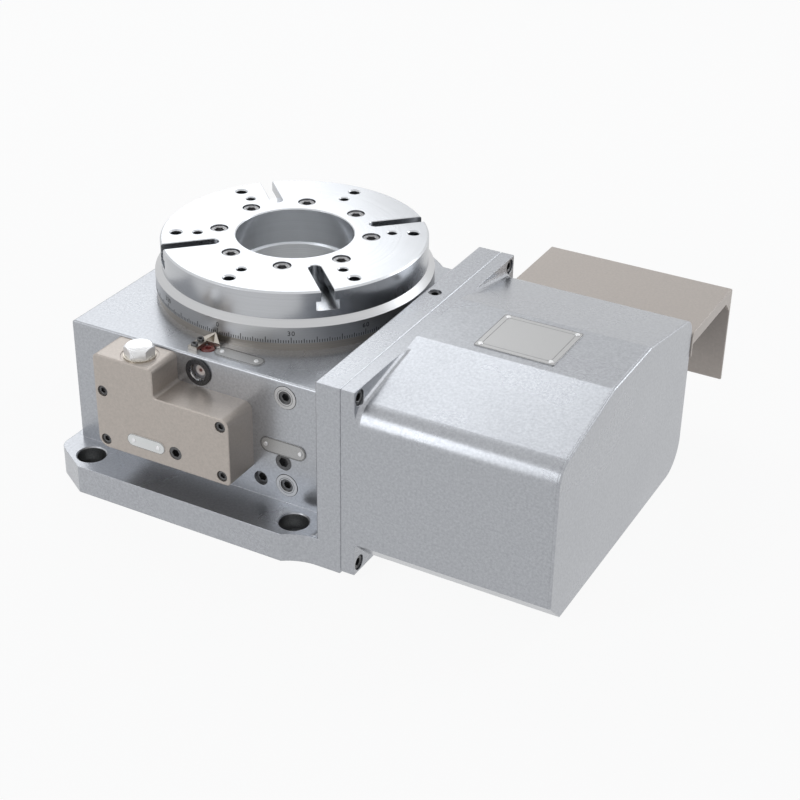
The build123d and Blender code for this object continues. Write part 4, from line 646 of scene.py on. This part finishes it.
def dial_numbers():
    """Numbers every thirty degrees, bent round the ring's band."""
    band_radius, text_radius, text_height, thickness = 131.0, 131.04, 168.6, 0.00015
    bm = bmesh.new()
    for number in range(0, 360, 30):
        text = bpy.data.curves.new("dial_text", "FONT")
        text.body = str(number)
        text.size = 6.4
        text.align_x = "CENTER"
        text.align_y = "CENTER"
        text.space_character = 1.15
        text.resolution_u = 3
        holder = bpy.data.objects.new("dial_text", text)
        bpy.context.scene.collection.objects.link(holder)
        bpy.context.view_layer.update()
        mesh = bpy.data.meshes.new_from_object(holder)
        start = len(bm.verts)
        bm.from_mesh(mesh)
        bm.verts.ensure_lookup_table()
        for vert in bm.verts[start:]:
            x, y = vert.co.x, vert.co.y
            vert.co = on_ring(math.radians(number - 90) + x / band_radius, text_height + y, text_radius)
        bpy.data.objects.remove(holder)
        bpy.data.meshes.remove(mesh)
        bpy.data.curves.remove(text)
    bmesh.ops.solidify(bm, geom=bm.faces[:], thickness=thickness)
    piece("dial_numbers", bm, ink, "table")


graduation()
dial_numbers()


# ---- studio ----------------------------------------------------------------------------------------------

def softbox(name, azimuth, height, distance, size, radiance):
    """A rectangular lamp of a given radiance, standing round the object and facing it."""
    angle = math.radians(azimuth)
    place = (distance * math.cos(angle), distance * math.sin(angle), height)
    middle = (0.05, 0, 0.1)
    light = bpy.data.lights.new(name, "AREA")
    light.shape = "RECTANGLE"
    light.size, light.size_y = size
    light.energy = radiance * math.pi * size[0] * size[1]
    light.color = (0.95, 0.975, 1.0)
    holder = bpy.data.objects.new(name, light)
    bpy.context.scene.collection.objects.link(holder)
    holder.location = place
    holder.rotation_mode = "QUATERNION"
    holder.rotation_quaternion = (Vector(middle) - Vector(place)).to_track_quat("-Z", "Y")


softbox("back_box", 134, 2.0, 1.5, (1.7, 0.9), 1.5)
softbox("low_box", 142, 1.25, 1.6, (1.6, 0.9), 1.1)
softbox("front_box", 248, 0.95, 2.0, (0.8, 1.5), 2.6)
softbox("right_box", 48, 0.9, 2.0, (0.8, 1.4), 2.8)


def backdrop_share(tree, share):
    """A share for camera, glossy and transmission rays, and none for the others."""
    rays = tree.nodes.new("ShaderNodeLightPath")
    total = rays.outputs["Is Camera Ray"]
    for kind in ("Is Glossy Ray", "Is Transmission Ray"):
        either_ray = tree.nodes.new("ShaderNodeMath")
        either_ray.operation = "MAXIMUM"
        tree.links.new(total, either_ray.inputs[0])
        tree.links.new(rays.outputs[kind], either_ray.inputs[1])
        total = either_ray.outputs["Value"]
    scaled = tree.nodes.new("ShaderNodeMath")
    scaled.operation = "MULTIPLY"
    tree.links.new(total, scaled.inputs[0])
    scaled.inputs[1].default_value = share
    return scaled.outputs["Value"]


def show_white(tree, lit, white_light, share, surface):
    """Mixes white into a lit surface, by a share, for the rays that see the backdrop."""
    choose = tree.nodes.new("ShaderNodeMixShader")
    tree.links.new(backdrop_share(tree, share), choose.inputs["Fac"])
    tree.links.new(lit, choose.inputs[1])
    tree.links.new(white_light, choose.inputs[2])
    tree.links.new(choose.outputs["Shader"], surface)


world = bpy.data.worlds.new("studio")
bpy.context.scene.world = world
world.use_nodes = True
tree = world.node_tree
ambient = tree.nodes["Background"]
ambient.inputs["Color"].default_value = (0.95, 0.97, 1.0, 1)
ambient.inputs["Strength"].default_value = 0.42
clear = tree.nodes.new("ShaderNodeBackground")
clear.inputs["Color"].default_value = (1, 1, 1, 1)
clear.inputs["Strength"].default_value = 1.0
show_white(tree, ambient.outputs["Background"], clear.outputs["Background"], 1.0,
           tree.nodes["World Output"].inputs["Surface"])

# The floor lies just under the part. A share under 1 lets it keep some of the part's shadow.
floor_level, floor_radius, floor_share = -0.0002, 6.0, 0.92
floor_mesh = bpy.data.meshes.new("floor")
bm = bmesh.new()
bmesh.ops.create_circle(bm, cap_ends=True, segments=96, radius=floor_radius,
                        matrix=Matrix.Translation((0, 0, floor_level)))
bm.to_mesh(floor_mesh)
bm.free()
floor = bpy.data.objects.new("floor", floor_mesh)
bpy.context.scene.collection.objects.link(floor)
look = Nodes("floor_white")
look.feed(
    Base_Color=look.colours(look.noise(3.0), (0.74, 0.745, 0.75), (0.78, 0.785, 0.79)),
    Roughness=look.ramp(look.noise(20.0), 0.6, 0.8),
)
look.set(Specular_IOR_Level=0.1)
paper = look.node("ShaderNodeEmission", Color=(1, 1, 1, 1), Strength=1.0)
show_white(look.tree, look.shader.outputs["BSDF"], paper.outputs["Emission"], floor_share,
           look.tree.nodes["Material Output"].inputs["Surface"])
floor_mesh.materials.append(look.material)


# ---- camera: the one fitted to the photo -----------------------------------------------------------------

yaw, pitch, roll = math.radians(28.385), math.radians(30.031), math.radians(0.899)
focal_pixels, centre_x, centre_y, picture, sensor = 1672.90, 394.26, 393.82, 800, 36.0
forward = Vector((-math.sin(yaw) * math.cos(pitch), math.cos(yaw) * math.cos(pitch), -math.sin(pitch)))
level = Vector((math.cos(yaw), math.sin(yaw), 0))
over = level.cross(forward)
right = math.cos(roll) * level + math.sin(roll) * over
upward = -math.sin(roll) * level + math.cos(roll) * over
camera = bpy.data.cameras.new("camera")
camera.sensor_width = sensor
camera.lens = focal_pixels / picture * sensor
camera.shift_x = (picture / 2 - centre_x) / picture
camera.shift_y = (centre_y - picture / 2) / picture
camera.clip_start, camera.clip_end = 0.05, 40
camera_object = bpy.data.objects.new("camera", camera)
bpy.context.scene.collection.objects.link(camera_object)
turn = Matrix((right, upward, -forward)).transposed().to_4x4()
camera_object.matrix_world = Matrix.Translation(Vector((0.75974, -1.20672, 0.85655))) @ turn
bpy.context.scene.camera = camera_object
bpy.context.scene.view_settings.view_transform = "Standard"
